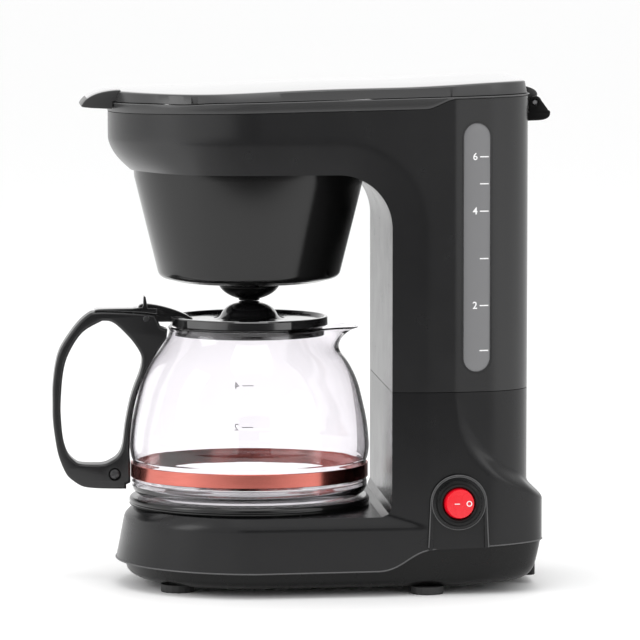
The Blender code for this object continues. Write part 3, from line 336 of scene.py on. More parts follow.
def turned(profile, at=(0.0, 0.0, 0.0), steps=128, tilt=(0, 0, 0)):
    """A profile of (radius, height) turned about Z; at is (x, behind the axis, height)."""
    shape = bmesh.new()
    points = [shape.verts.new((r, 0, z)) for r, z in profile]
    closed = profile[0][0] > 0
    for first, second in zip(points, points[1:] + points[:1] if closed else points[1:]):
        shape.edges.new((first, second))
    item = from_bmesh(shape, "turned")
    screw = item.modifiers.new("turn", "SCREW")
    screw.steps = steps
    screw.render_steps = steps
    screw.use_merge_vertices = True
    screw.merge_threshold = 0.000001
    item.rotation_euler = tilt
    item.location = (at[0], BREW_Y + at[1], at[2])
    made = applied(item)
    facing(made)
    return made


def facing(item):
    """Turn a closed mesh's faces outwards."""
    shape = bmesh.new()
    shape.from_mesh(item.data)
    bmesh.ops.recalc_face_normals(shape, faces=shape.faces)
    shape.to_mesh(item.data)
    shape.free()


def rod(radius, start_at, end_at, steps=48, edge=0.0):
    """A round bar between two points given as (x, behind the axis, height), with eased ends."""
    start_v = Vector(start_at)
    along = Vector(end_at) - start_v
    turn = along.to_track_quat("Z", "Y").to_euler()
    top = along.length
    profile = [(0, top), (radius, top), (radius, 0), (0, 0)]
    if edge:
        profile[1:3] = [(radius - edge, top), (radius, top - edge), (radius, edge), (radius - edge, 0)]
    return turned(profile, start_v, steps, turn)


def box(low, high):
    """A block between two corners given as (x, behind the axis, height)."""
    shape = bmesh.new()
    bmesh.ops.create_cube(shape, size=1)
    size = [b - a for a, b in zip(low, high)]
    middle = Vector([(b + a) / 2 for a, b in zip(low, high)])
    middle.y += BREW_Y
    shape.transform(Matrix.Translation(middle) @ Matrix.Diagonal((*size, 1)))
    return from_bmesh(shape, "block")


def boolean(item, other, operation):
    change = item.modifiers.new(operation, "BOOLEAN")
    change.operation = operation
    change.object = other
    made = applied(item)
    bpy.data.objects.remove(other, do_unlink=True)
    return made


def cut(item, *others):
    for other in others:
        item = boolean(item, other, "DIFFERENCE")
    return item


def join(item, *others):
    for other in others:
        item = boolean(item, other, "UNION")
    return item


def keep(item, other):
    return boolean(item, other, "INTERSECT")


def rounded(item, width, segments=3, angle=35):
    """Ease the sharp edges."""
    shape = bmesh.new()
    shape.from_mesh(item.data)
    bmesh.ops.remove_doubles(shape, verts=shape.verts, dist=2e-5)
    bmesh.ops.dissolve_limit(shape, angle_limit=math.radians(0.4), verts=shape.verts, edges=shape.edges)
    shape.to_mesh(item.data)
    shape.free()
    ease = item.modifiers.new("ease", "BEVEL")
    ease.width = width
    ease.segments = segments
    ease.limit_method = "ANGLE"
    ease.angle_limit = math.radians(angle)
    ease.use_clamp_overlap = True
    ease.harden_normals = False
    return applied(item)


def finish(item, name, look, body, slot, *nodes, angle=28):
    """Name a piece, shade it, hide the CAD nodes it replaces, and tell the frame what it rides on."""
    item.name = name
    item.data.name = name
    if item.type == "MESH":
        for face in item.data.polygons:
            face.use_smooth = True
        item.data.set_sharp_from_angle(angle=math.radians(angle))
    item.data.materials.clear()
    item.data.materials.append(look)
    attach(item, body)
    if nodes:
        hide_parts(*nodes)
    return item


# ---------------------------------------------------------------- materials

def blank(name):
    made = bpy.data.materials.new(name)
    made.use_nodes = True
    tree = made.node_tree
    return made, tree, tree.nodes["Principled BSDF"]


def noise(tree, scale, detail=3.0, stretch=None):
    """A noise texture in object space."""
    where = tree.nodes.new("ShaderNodeTexCoord")
    cloud = tree.nodes.new("ShaderNodeTexNoise")
    cloud.inputs["Scale"].default_value = scale
    cloud.inputs["Detail"].default_value = detail
    if stretch:
        mapping = tree.nodes.new("ShaderNodeMapping")
        mapping.inputs["Scale"].default_value = stretch
        tree.links.new(where.outputs["Object"], mapping.inputs["Vector"])
        tree.links.new(mapping.outputs["Vector"], cloud.inputs["Vector"])
    else:
        tree.links.new(where.outputs["Object"], cloud.inputs["Vector"])
    return cloud.outputs["Fac"]


def ramp(tree, value, low, high):
    """Stretch a 0 to 1 value over low to high."""
    span = tree.nodes.new("ShaderNodeMapRange")
    span.inputs["To Min"].default_value = low
    span.inputs["To Max"].default_value = high
    tree.links.new(value, span.inputs["Value"])
    return span.outputs["Result"]


def bump(tree, shader, value, strength, distance):
    rise = tree.nodes.new("ShaderNodeBump")
    rise.inputs["Strength"].default_value = strength
    rise.inputs["Distance"].default_value = distance
    tree.links.new(value, rise.inputs["Height"])
    tree.links.new(rise.outputs["Normal"], shader.inputs["Normal"])


def tint(tree, shader, value, dark, light):
    """Vary the base colour between two tones."""
    mix = tree.nodes.new("ShaderNodeMix")
    mix.data_type = "RGBA"
    mix.inputs[6].default_value = (*dark, 1)
    mix.inputs[7].default_value = (*light, 1)
    tree.links.new(value, mix.inputs[0])
    tree.links.new(mix.outputs[2], shader.inputs["Base Color"])


def surface(name, dark, light, ends, tone, polish, grain=None, relief=None, also=None):
    """A look whose colour, polish and fine relief vary with noise.

    tone, polish and grain are (scale, detail, stretch) of their noise, ends the range of
    the roughness, relief the bump's (strength, depth), also other shader values by name.
    """
    made, tree, shader = blank(name)
    tint(tree, shader, noise(tree, *tone), dark, light)
    tree.links.new(ramp(tree, noise(tree, *polish), *ends), shader.inputs["Roughness"])
    if grain:
        bump(tree, shader, noise(tree, *grain), *relief)
    for label, value in (also or {}).items():
        shader.inputs[label].default_value = value
    return made


def plastic(name, dark, light, blue, smooth_end, rough_end, grain, depth, ior=1.5, coat=0.0):
    """Moulded plastic: faint tone shift, uneven polish and a fine moulded grain."""
    also = {"IOR": ior, "Coat Weight": coat, "Coat Roughness": 0.04}
    return surface(name, (dark, dark, dark + blue), (light, light, light + blue),
                   (smooth_end, rough_end), (14, 4), (60, 4), (grain, 2), (0.25, depth), also)


def metal(name, dark, light, smooth_end, rough_end, stretch):
    """Drawn or rolled metal with fine lines along one direction."""
    return surface(name, dark, light, (smooth_end, rough_end), (90, 3, stretch), (300, 3, stretch),
                   (900, 2, stretch), (0.15, 0.00002), {"Metallic": 1.0})


def ink(name, color):
    """Printed ink, slightly uneven."""
    return surface(name, tuple(c * 0.86 for c in color), color, (0.45, 0.6), (400, 3), (500, 2))


# Darkest and lightest grey, blue cast, roughness range, grain per metre, grain depth, IOR, coat
PLASTICS = {
    "gloss": ("gloss_black", 0.0085, 0.012, 0.0005, 0.20, 0.27, 900, 0.00002),
    "satin": ("satin_black", 0.0085, 0.0115, 0.0005, 0.22, 0.30, 1400, 0.00002),
    "base": ("base_black", 0.006, 0.0085, 0.0005, 0.22, 0.30, 1400, 0.00002, 1.38),
    "lid": ("polished_black", 0.007, 0.010, 0.0005, 0.08, 0.12, 500, 0.000002, 1.5, 1.0),
    "basket": ("basket_black", 0.004, 0.006, 0.0, 0.15, 0.20, 500, 0.00001, 1.46),
    # rim: a lighter grey for the collar, and a painted sheen on the lid's side faces
    "rim": ("rim_black", 0.026, 0.036, 0.0005, 0.26, 0.34, 900, 0.00001),
    # lip: a lighter grey, a painted highlight on the fine lips along the seams, the switch and the collar
    "lip": ("painted_highlight_edge", 0.060, 0.085, 0.001, 0.25, 0.35, 900, 0.00001),
    "matt": ("matt_black", 0.014, 0.020, 0.0005, 0.50, 0.62, 2200, 0.00005),
    "deep": ("deep_black", 0.003, 0.005, 0.0, 0.22, 0.34, 900, 0.00002, 1.32),
    "enamel": ("enamel_black", 0.004, 0.007, 0.0, 0.10, 0.18, 500, 0.00003),
    "rubber": ("rubber_black", 0.018, 0.027, 0.0, 0.62, 0.80, 1800, 0.00008),
    "silicone": ("silicone_grey", 0.30, 0.38, 0.0, 0.5, 0.62, 1200, 0.00004),
}
# Darkest and lightest colour, roughness range, stretch of the lines
METALS = {
    "screw": ("blackened_steel", (0.060, 0.060, 0.062), (0.110, 0.110, 0.112), 0.28, 0.40, (1, 6, 1)),
    "steel": ("steel", (0.50, 0.50, 0.51), (0.64, 0.64, 0.65), 0.22, 0.36, (1, 6, 1)),
    "aluminium": ("aluminium", (0.58, 0.58, 0.59), (0.72, 0.72, 0.73), 0.35, 0.5, (5, 1, 1)),
    "copper": ("copper_band", (0.52, 0.145, 0.115), (0.66, 0.200, 0.165), 0.16, 0.26, (1, 1, 14)),
}
LOOKS = {look: plastic(*facts) for look, facts in PLASTICS.items()}
LOOKS.update({look: metal(*facts) for look, facts in METALS.items()})
# Blown glass with the faintest lilac cast and a slight ripple
LOOKS["glass"] = surface("carafe_glass", (0.955, 0.935, 0.965), (0.975, 0.960, 0.980), (0.0, 0.02),
                         (6, 2), (20, 2), (18, 2), (0.08, 0.0004), {"Transmission Weight": 1.0, "IOR": 1.47})
# Smoked gauge window, slightly see-through
LOOKS["smoked"] = surface("smoked_window", (0.165, 0.165, 0.170), (0.205, 0.205, 0.210), (0.25, 0.36),
                          (9, 2, (1, 1, 0.3)), (50, 3), (700, 2), (0.1, 0.00002),
                          {"Transmission Weight": 0.15})
# Translucent red rocker, with a faint painted glow standing in for light shining through the cap
LOOKS["red"] = surface("red_painted_glow", (0.62, 0.003, 0.010), (0.74, 0.007, 0.020), (0.22, 0.32), (120, 2),
                       (200, 2), (1500, 2), (0.12, 0.00002),
                       {"Emission Color": (1.0, 0.0, 0.015, 1), "Emission Strength": 0.10})
LOOKS["white_ink"] = ink("white_ink", (0.85, 0.85, 0.85))
LOOKS["grey_ink"] = ink("grey_ink", (0.38, 0.37, 0.39))


# ---------------------------------------------------------------- housings

def collar_low(u):
    """Lower edge of the collar; it rises to a thin lip behind the ridge."""
    straight = lerp(COLLAR_LINE_FRONT, COLLAR_LINE_BACK, (u - ARM_FRONT) / (COLUMN_BACK - ARM_FRONT))
    thin = lid_line(u) - 0.0009
    return lerp(straight, thin, smooth((u - RIDGE + 0.016) / 0.016))


def lid_line(u):
    """Parting line between lid and collar."""
    dip = 0.0006 * hill(u, -0.038, 0.010)
    return lerp(LID_LINE_FRONT, LID_LINE_BACK, (u - ARM_FRONT) / (COLUMN_BACK - ARM_FRONT)) - dip


def lid_top(u):
    """Height of the lid's upper edge, lowest where the straight sides begin."""
    even = lerp(LID_TOP_FRONT, LID_TOP_BACK, (u - ARM_FRONT) / (COLUMN_BACK - ARM_FRONT))
    dip = 0.0018 * hill(u, -0.030, 0.045)
    return even - dip + 0.0018 * smooth((u - 0.070) / 0.070)


def bay_distance(u, z):
    """How far a point of the side wall lies from the edge of the carafe bay, in metres."""
    centre_u = COLUMN_FRONT - ARCH_R
    centre_z = ARM_BOTTOM - ARCH_R
    if u > centre_u and z > centre_z:
        return math.hypot(u - centre_u, z - centre_z) - ARCH_R
    if z > centre_z:
        return z - ARM_BOTTOM
    return max(u - COLUMN_FRONT, (BASE_TOP - z) * BAND / BASE_BAND)


def border(u, z):
    """How far the sloped border round the bay draws a point of the side wall in."""
    share = bay_distance(u, z) / BAND
    slope = BAND_DEPTH * (1 - max(-0.5, min(1.0, share)))
    soft = 0.10                               # share of the border over which its outer edge eases
    if 1 - soft < share < 1 + soft:
        slope = BAND_DEPTH * (1 + soft - share) ** 2 / (4 * soft)
    nose = smooth((-u - 0.030) / 0.040)       # 1 at the arm's nose, 0 at its sides
    if z > ARM_BOTTOM - 0.002:
        slope += nose * (NOSE_ROUNDING * fade(z - ARM_BOTTOM, 0.0165))
    return slope * smooth((RIDGE - u) / 0.004 + 1)


def side_profile(top, low):
    """Side outline of arm and column above the carafe bay."""
    arch = arc((COLUMN_FRONT - ARCH_R, ARM_BOTTOM - ARCH_R), ARCH_R, 90, 0, 24)
    return ([(ARM_FRONT - FAR, top), (ARM_FRONT - FAR, ARM_BOTTOM)] + arch
            + [(COLUMN_FRONT, low), (COLUMN_BACK + FAR, low), (COLUMN_BACK + FAR, top)])


def inner_prism(half, outward, low, high, wall):
    """A plan drawn in by the wall, standing from low to high."""
    inner = shrunk(half, outward, wall)
    ring = inner[:-1] + [(-x, u) for x, u in reversed(inner[1:])]
    return plan_prism(ring[::2], low, high)


def column_prism(low, high, wall):
    return inner_prism(COLUMN_PLAN, COLUMN_NORMALS, low, high, wall)


def heights(low, high, *fine):
    """Levels from high to low, 4 mm apart, and 1.2 mm apart inside the fine stretches."""
    made = [high]
    while made[-1] > low + 1e-6:
        z = made[-1]
        close = any(a <= z <= b for a, b in fine)
        made.append(max(low, z - (0.0012 if close else 0.0040)))
    return made


def hose_holes(radius):
    """Two upright rods where the hoses pass from one housing to the other."""
    return [rod(radius, (x, HOSE_U, SEAM - 0.01), (x, HOSE_U, SEAM + 0.01)) for x in (-HOSE_X, HOSE_X)]


def upper_housing():
    """Arm and column in one shell, with a sloped border along the arch."""
    rings = [both_sides(COLUMN_PLAN, lambda u: collar_low(u) - GAP)]
    top = COLLAR_LINE_FRONT - 0.002
    for z in heights(SEAM, top, (ARM_BOTTOM - 0.002, ARM_BOTTOM + 0.019), (SEAM, ARM_BOTTOM)):
        plan = shrunk(COLUMN_PLAN, COLUMN_NORMALS, lambda u: border(u, z))
        rings.append(both_sides(plan, z))
    body = stack(rings)
    body = keep(body, side_prism([side_profile(LID_TOP_BACK + FAR, SEAM - FAR)], HALF))
    inner = column_prism(SEAM + WALL, LID_TOP_BACK + FAR, WALL + BAND_DEPTH * 0.6)
    inside = ([(ARM_FRONT - FAR, ABOVE), (ARM_FRONT - FAR, ARM_BOTTOM + 0.019),
               (-0.035, ARM_BOTTOM + 0.016), (-0.028, ARM_BOTTOM + WALL)]
              + arc((COLUMN_FRONT - ARCH_R, ARM_BOTTOM - ARCH_R), ARCH_R + WALL, 90, 0, 12)
              + [(COLUMN_FRONT + WALL, SEAM + WALL), (COLUMN_BACK + FAR, SEAM + WALL),
                 (COLUMN_BACK + FAR, ABOVE)])
    inner = keep(inner, side_prism([inside], HALF))
    tank_wall = box((-HALF, 0.0640, 0), (HALF, 0.0670, 0.2380))
    inner = cut(inner, tank_wall)
    body = cut(body, inner)
    body = cut(body, rod(FUNNEL_HOLE, (0, 0, ARM_BOTTOM - 0.015), (0, 0, ARM_BOTTOM + 0.004), 96))
    body = cut(body, rod(FLANGE_ROOM, (0, 0, ARM_BOTTOM + 0.0026), (0, 0, ARM_BOTTOM + 0.0300), 96))
    body = cut(body, gauge_strip(0.0004, 0.004))
    body = cut(body, *hose_holes(HOSE_HOLE_TOP))
    finish(body, "housing_upper", LOOKS["satin"], "machine", "black_gloss", "upper_housing", angle=22)


def ridge_height(u):
    """Height of the ridge where it sweeps back across the lower housing."""
    sweep = bend((RIDGE, SEAM), (RIDGE + 0.003, 0.086), (RIDGE + 0.011, 0.070),
                 (RIDGE + 0.0370, 0.0605), 24)
    end_u, end_z = sweep[-1]
    if u <= RIDGE:
        return 1.0
    if u > end_u:
        return lerp(end_z, BASE_BACK_TOP - 0.001, smooth((u - end_u) / 0.012))
    return broken_line(sweep, u)


def nose_lean(z):
    """How far the base's nose is drawn back at a height; it leans back towards the top."""
    return broken_line(NOSE_LEAN, z)


def leaned(u, lean):
    """A nose point drawn back; points behind the brew axis stay."""
    return u * (1 + lean / ARM_FRONT) if u < 0 else u


def lower_plan(z):
    """Plan of the lower housing: the column's above the swept ridge, the base's below it."""
    made = []
    for (cx, cu), (bx, bu), (nx, nu) in zip(COLUMN_PLAN, BASE_PLAN, BASE_NORMALS):
        below = (ridge_height(bu) - z) / 0.0050
        share = smooth(below * 0.5 + 0.35)
        x, u = lerp(cx, bx, share), lerp(cu, bu, share)
        step = border(u, z)
        made.append((max(x - nx * step, 0.0), leaned(u - nu * step, nose_lean(z))))
    return made


def lower_profile():
    """Side outline of base and column up to the housing seam."""
    foot = 0.0055                             # fillet where the column meets the base
    return [(ARM_FRONT - FAR, -FAR), (ARM_FRONT - FAR, BASE_TOP), (COLUMN_FRONT - foot, BASE_TOP),
            (COLUMN_FRONT - foot * 0.3, BASE_TOP + foot * 0.3), (COLUMN_FRONT, BASE_TOP + foot),
            (COLUMN_FRONT, SEAM - GAP), (BASE_BACK + FAR, SEAM - GAP), (BASE_BACK + FAR, -FAR)]


SEAM_POINTS = ([(ARM_FRONT - FAR, 0.0134), (0.0, 0.0128)]
               + bend((0.0640, 0.0132), (0.0760, 0.0140), (0.0800, 0.0240), (0.0930, 0.0244), 12)
               + [(BASE_BACK + FAR, 0.0275)])


def below_seam(rise):
    """Everything under the stepped seam between base and bottom cover."""
    bottom = -FAR * 3
    return [(u, z + rise) for u, z in SEAM_POINTS] + [(BASE_BACK + FAR, bottom), (ARM_FRONT - FAR, bottom)]


def lower_housing():
    """Base and foot of the column, with the swept ridge and the switch's raised surround."""
    rings = [both_sides(lower_plan(z), z) for z in heights(0.004, SEAM - GAP + 0.0001, (0.004, SEAM))]
    body = stack(rings)
    body = keep(body, side_prism([lower_profile()], HALF))
    body = join(body, switch_surround())
    short = [(x, leaned(u, nose_lean(BASE_TOP))) for x, u in BASE_PLAN]
    inner = inner_prism(short, BASE_NORMALS, -FAR, SEAM - WALL, WALL * 1.6)
    inside = [(ARM_FRONT + WALL, -FAR), (ARM_FRONT + WALL, BASE_TOP - 0.012),
              (ARM_FRONT + 0.024, BASE_TOP - WALL), (COLUMN_FRONT + WALL, BASE_TOP - WALL),
              (COLUMN_FRONT + WALL, SEAM - WALL), (RIDGE, SEAM - WALL), (RIDGE + 0.006, 0.080),
              (RIDGE + 0.018, 0.062), (BASE_BACK - WALL, 0.050), (BASE_BACK - WALL, -FAR)]
    inner = keep(inner, side_prism([inside], HALF))
    body = cut(body, inner)
    body = cut(body, side_prism([below_seam(GAP / 2)], HALF))
    body = cut(body, rod(PLATE_HOLE, (0, 0, BASE_TOP - 0.006), (0, 0, BASE_TOP + 0.004), 96))
    u, z = SWITCH
    body = cut(body, rod(BEZEL_HOLE, (PAD_X - 0.03, u, z), (PAD_X + 0.01, u, z), 64))
    body = cut(body, rod(CORD_HOLE, (0, BASE_BACK - 0.02, GLAND_Z), (0, BASE_BACK + 0.02, GLAND_Z), 48))
    body = cut(body, *hose_holes(HOSE_HOLE_LOW))
    finish(body, "housing_lower", LOOKS["base"], "machine", "black_gloss", "base_housing", angle=22)


SWITCH = middle_of(BEZEL_BOX)
PAD_X = BEZEL_BOX[1].x - 0.0022 - GAP
PAD_R = 0.0147
GLAND_Z = middle_of(node_box("cord_gland"))[1]


def switch_surround():
    """Round collar for the switch, inside an arched rib whose legs run down to the seam."""
    u, z = SWITCH
    flare = 0.0010
    outer = (arc(SWITCH, PAD_R, 0, 180, 40) + [(u - PAD_R - flare, 0.0), (u + PAD_R + flare, 0.0)])
    rib = 0.0015
    inner = (arc(SWITCH, PAD_R - rib, 0, 180, 40)
             + [(u - PAD_R - flare + rib, -0.001), (u + PAD_R + flare - rib, -0.001)])
    arch = side_prism([outer], 0.0060, PAD_X - 0.0062, 0.0004, 2)
    arch = cut(arch, side_prism([inner], 0.0030, PAD_X + 0.0014))
    edge = mm([(-1.9, 0), (-1, -0.3), (-0.6, -0.9), (-0.6, -10)], (PAD_R, 0))
    ring = turned([(0, 0)] + edge + [(0, -0.0100)], (PAD_X, u, z), 96, ONTO_SIDE)
    return join(arch, ring)


def bottom_cover():
    """Tray under the base: its wall draws in and rounds under, and its heel reaches the worktop."""
    low = COVER_BOX[0].z
    rings = []
    top = 0.032                               # above the seam all round
    lean_top = 0.028                          # where the wall starts to draw in
    for z in heights(low, top, (low, top)):
        lean = 0.0058 * max(0.0, (lean_top - z) / (lean_top - low)) ** 1.25
        under = 0.0050 * fade(z - low, 0.0045, 2.2)
        heel = 0.0065 * fade(z - low, 0.0095)
        plan = shrunk(BASE_PLAN, BASE_NORMALS,
                      lambda u: lean + under + COVER_STEP + heel * smooth((u - 0.105) / 0.030))
        rings.append(both_sides([(x, leaned(u, COVER_LEAN)) for x, u in plan], z))
    body = stack(rings)
    body = keep(body, side_prism([below_seam(-GAP / 2)], HALF))
    back = BASE_BACK - 0.0005
    stop = [(-0.020, 0.130), (-0.020, back - 0.002), (-0.018, back), (0.018, back), (0.020, back - 0.002),
            (0.020, 0.130)]
    body = join(body, rounded(plan_prism(stop, low, 0.0240), 0.0008, 2))
    drawn_in = 0.0115                         # room for the wall's lean and rounding
    inner = inner_prism(BASE_PLAN, BASE_NORMALS, low + WALL, top + FAR, WALL + drawn_in)
    body = cut(body, inner)
    # The cover takes the darkest black: partly its own matte black, partly painted shade for the shadow it
    # sits in near the worktop
    finish(body, "cover_bottom", LOOKS["deep"], "machine", "black_matte", "bottom_cover", angle=24)


def bead(name, points, radius, closed=True):
    """A fine rounded lip along a run of world points, in a lighter grey that is a painted highlight."""
    curve = bpy.data.curves.new(name, "CURVE")
    curve.dimensions = "3D"
    curve.bevel_depth = radius
    curve.bevel_resolution = 2
    curve.use_fill_caps = True
    spline = curve.splines.new("POLY")
    spline.points.add(len(points) - 1)
    for point, co in zip(spline.points, points):
        point.co = (*co, 1)
    spline.use_cyclic_u = closed
    finish(applied(new_object(name, curve)), name, LOOKS["lip"], "machine", "black_gloss", angle=60)


def seam_height(u):
    return broken_line(SEAM_POINTS, u)


def seam_beads():
    """Rounded lips along the base's lower edge and round the switch, in a lighter grey: a painted highlight
    where they catch the light.
    """
    radius = 0.0004
    ring = []
    for x, u in BASE_PLAN:
        z = seam_height(u)
        ring.append((x - 0.0001, BREW_Y + leaned(u, nose_lean(z)), z + radius * 1.4))
    ring += [(-x, y, z) for x, y, z in reversed(ring[1:-1])]
    bead("seam_lip", ring, radius)
    u, z = SWITCH
    foot = seam_height(u) + 0.0010
    reach = PAD_R + 0.0009
    arch = [(u + reach, foot)] + arc(SWITCH, PAD_R - 0.0002, 0, 180, 40) + [(u - reach, foot)]
    bead("switch_lip", [(PAD_X - 0.0004, BREW_Y + a, b) for a, b in arch], 0.00035, False)
    inner = arc(SWITCH, PAD_R - 0.0009, 0, 360, 64)[:-1]
    bead("switch_ring_lip", [(PAD_X - 0.0002, BREW_Y + a, b) for a, b in inner], 0.00028)


# ---------------------------------------------------------------- lid and collar

HINGE_PIN = middle_of(LID_PIN_BOX)


def column_ring(inward, height):
    """A ring of the column's plan drawn in, at a height or a function of u."""
    return both_sides(shrunk(COLUMN_PLAN, COLUMN_NORMALS, inward), height)


def top_collar():
    """Frame round the opening, thinning to a lip behind the ridge."""
    edge = 0.0004
    proud = -0.0007
    rings = [column_ring(edge * 0.2, lid_line),
             column_ring(proud + edge * 0.3, lambda u: lid_line(u) - edge * 0.3),
             column_ring(proud, lambda u: lid_line(u) - edge),
             column_ring(-0.0002, lambda u: collar_low(u) + edge),
             column_ring(0.0, collar_low),
             column_ring(WALL, collar_low),
             column_ring(WALL, lid_line)]
    body = stack(rings, closed=True)
    finish(body, "collar", LOOKS["rim"], "machine", "black_gloss", "top_collar", angle=40)
    bead("collar_lip", column_ring(-0.00055, lambda u: lid_line(u) - 0.00025), 0.00028)


def tab_outline():
    """Side outline of the finger tab, a hooked lip in front of the collar."""
    tip = LID_BOX[0].y - BREW_Y
    top = LID_TOP_FRONT - 0.0004
    return (bend((ARM_FRONT + 0.006, top), (ARM_FRONT - 0.005, top), (tip + 0.002, top - 0.0035),
                 (tip, top - 0.0082), 14)
            + bend(*mm([(0.1, -8.6), (0.6, -9.1), (3, -9.1), (5, -9.4)], (tip, top)), 4)
            + mm([(-1, -9.8), (6, -9.8)], (ARM_FRONT, top)))


def lid_strip(inward, share, lift):
    """A ring scaled towards the lid's middle, so that its broad faces are a fine even mesh."""
    middle = 0.035
    plan = shrunk(COLUMN_PLAN, COLUMN_NORMALS, inward)
    half = [(x * share, lerp(middle, u, share)) for x, u in plan]
    return both_sides(half, lambda u: lid_top(u) + lift)


def top_lid():
    """One-piece lid: sloped rim band, soft upper edge and crowned top, hollow below."""
    shares = (0.02, 0.15, 0.30, 0.45, 0.60, 0.75, 0.90)
    crown = 0.0009
    rings = [lid_strip(0.0060, share, 0.00005 + crown * (1 - share ** 2)) for share in shares]
    rings += [column_ring(0.0060, lambda u: lid_top(u) + 0.00005),
              column_ring(0.0030, lambda u: lid_top(u) - 0.0001),
              column_ring(0.0021, lambda u: lid_top(u) - 0.0004),
              column_ring(0.0016, lambda u: lid_top(u) - 0.0009),
              column_ring(0.0006, lambda u: lid_line(u) + GAP + 0.0006),
              column_ring(0.0004, lambda u: lid_line(u) + GAP + 0.0002),
              column_ring(0.0006, lambda u: lid_line(u) + GAP),
              column_ring(WALL + 0.0004, lambda u: lid_line(u) + GAP),
              column_ring(WALL + 0.0014, lambda u: lid_top(u) - WALL)]
    rings += [lid_strip(WALL + 0.0014, share, -WALL) for share in reversed(shares)]
    body = stack(rings)
    tab_half = 0.0210
    tab = side_prism([tab_outline()], tab_half, 0.0, 0.0006, 2)
    tab = cut(tab, column_prism(UNDER_LID, lid_line(ARM_FRONT) + GAP + 0.0004, -0.0014))
    body = join(body, tab)
    for side in (-1, 1):
        x = side * (ARM_HALF - 0.0058)
        notch = box((x - 0.006, -0.0338, lid_line(-0.03) + 0.0004),
                    (x + 0.009, -0.0305, lid_top(-0.03) - 0.0008))
        body = cut(body, cut(notch, column_prism(UNDER_LID, ABOVE, 0.0016)))
        line_x = side * RIDGE_HALF
        mark = box((line_x - 0.004, RIDGE - 0.0030, lid_line(RIDGE) + 0.0002),
                   (line_x + 0.004, RIDGE - 0.0022, lid_top(RIDGE) - 0.0004))
        body = cut(body, cut(mark, column_prism(UNDER_LID, ABOVE, 0.0011)))
        body = join(body, side_prism([ear_outline()], EAR_HALF, side * EAR_X, 0.0005, 2))
    body = cut(body, rod(PIN_HOLE, (-0.03, *HINGE_PIN), (0.03, *HINGE_PIN), 48))
    finish(body, "lid_panel", LOOKS["lid"], "lid", "black_gloss", "top_lid", angle=30)
    # The top faces keep the polished black; all other faces get the lighter rim grey, a painted sheen for the
    # even mid-grey the light gives the lid's sides
    body.data.materials.append(LOOKS["rim"])
    for face in body.data.polygons:
        face.material_index = 0 if face.normal.z > 0.8 else 1


def ear_outline():
    """Side outline of a lid ear, from the lid's back edge down round the pin."""
    u, z = HINGE_PIN
    back = COLUMN_BACK
    return ([(back - 0.004, lid_line(back) + 0.0012), (back - 0.004, LID_TOP_BACK - 0.0018)]
            + bend(*mm([(1, -2.4), (4, -3)], (back, LID_TOP_BACK)), *mm([(2.8, 6), (1.7, 2.95)], (u, z)), 8)
            + arc((u, z), EAR_R, 50, -150, 20)
            + [(u - 0.0040, z + 0.001), (back + 0.0014, lid_line(back) + 0.0012)])


def hinge_bracket():
    """Fixed half of the lid's hinge: a foot block with two outer ears."""
    u, z = HINGE_PIN
    low, high = BRACKET_BOX
    back = high.y - BREW_Y
    front = COLUMN_BACK + GAP
    top = z - 0.0050
    foot = ([(front, low.z + 0.0002)]
            + bend(*mm([(-6, 0.5), (-2, 0.8), (0, 2), (0, 4.2)], (back, low.z)), 8)
            + bend(*mm([(0, 0), (-0.2, 0.6), (-0.8, 1), (-1.4, 1)], (back, top)), 4) + [(front, top)])
    body = side_prism([foot], high.x, 0.0, 0.0007, 3)
    ear = ([(u - 0.0034, top - 0.001), (back - 0.0004, top - 0.001), (back - 0.0014, top + 0.0015)]
           + arc((u, z), EAR_R, 20, 180, 24))
    middle = (high.x + EAR_X + EAR_HALF + 2 * GAP) / 2
    for side in (-1, 1):
        body = join(body, side_prism([ear], high.x - middle, side * middle, 0.0005, 2))
    body = cut(body, rod(PIN_HOLE, (-HALF, u, z), (HALF, u, z), 48))
    finish(body, "bracket", LOOKS["deep"], "machine", "black_matte", "hinge_bracket")
    pin = rod(PIN_R, (-high.x + 0.001, u, z), (high.x - 0.001, u, z), 40, 0.0004)
    finish(pin, "hinge_rod", LOOKS["steel"], "machine", "steel", "lid_pin")


# ---------------------------------------------------------------- gauge

GAUGE_HALF = 0.0078
GAUGE_MID = middle_of(GAUGE_BOX)[0]
FACET_TURN = math.atan2(RIDGE_HALF - FACET[0], FACET[1] - RIDGE)


def on_facet(item, outward):
    """Set a flat piece, made in (along, up, out) coordinates, square to the facet behind the ridge."""
    middle = RIDGE_HALF - (RIDGE_HALF - FACET[0]) * (GAUGE_MID - RIDGE) / (FACET[1] - RIDGE)
    out = Vector((math.cos(FACET_TURN), math.sin(FACET_TURN), 0))
    item.rotation_euler = (math.pi / 2, 0, math.pi / 2 + FACET_TURN)
    item.location = Vector((middle, BREW_Y + GAUGE_MID, 0)) + out * outward
    return applied(item)


def stadium(grow, count=24):
    low, high = GAUGE_BOX[0].z, GAUGE_BOX[1].z
    reach = GAUGE_HALF + grow
    return (arc((0, high - GAUGE_HALF), reach, 0, 180, count)
            + arc((0, low + GAUGE_HALF), reach, 180, 360, count))


def gauge_strip(grow, half):
    return on_facet(flat([stadium(grow)], half), 0.0)


CUP_LINES = {6: 0.2286, 5: 0.2146, 4: 0.2004, 3: 0.1758, 2: 0.1514, 1: 0.1280}


def printed(text, size, depth=0.00006, weight=0.015):
    """A raised print of a word or number, as a mesh in its own XY plane."""
    curve = bpy.data.curves.new("print", "FONT")
    curve.body = text
    curve.size = size
    curve.extrude = depth
    curve.offset = size * weight
    curve.align_x = "CENTER"
    curve.align_y = "CENTER"
    return applied(new_object("print", curve))


def marked(item, name):
    """Print a mark on the gauge window."""
    finish(on_facet(item, -0.00025), name, LOOKS["white_ink"], "machine", "gauge_plastic")


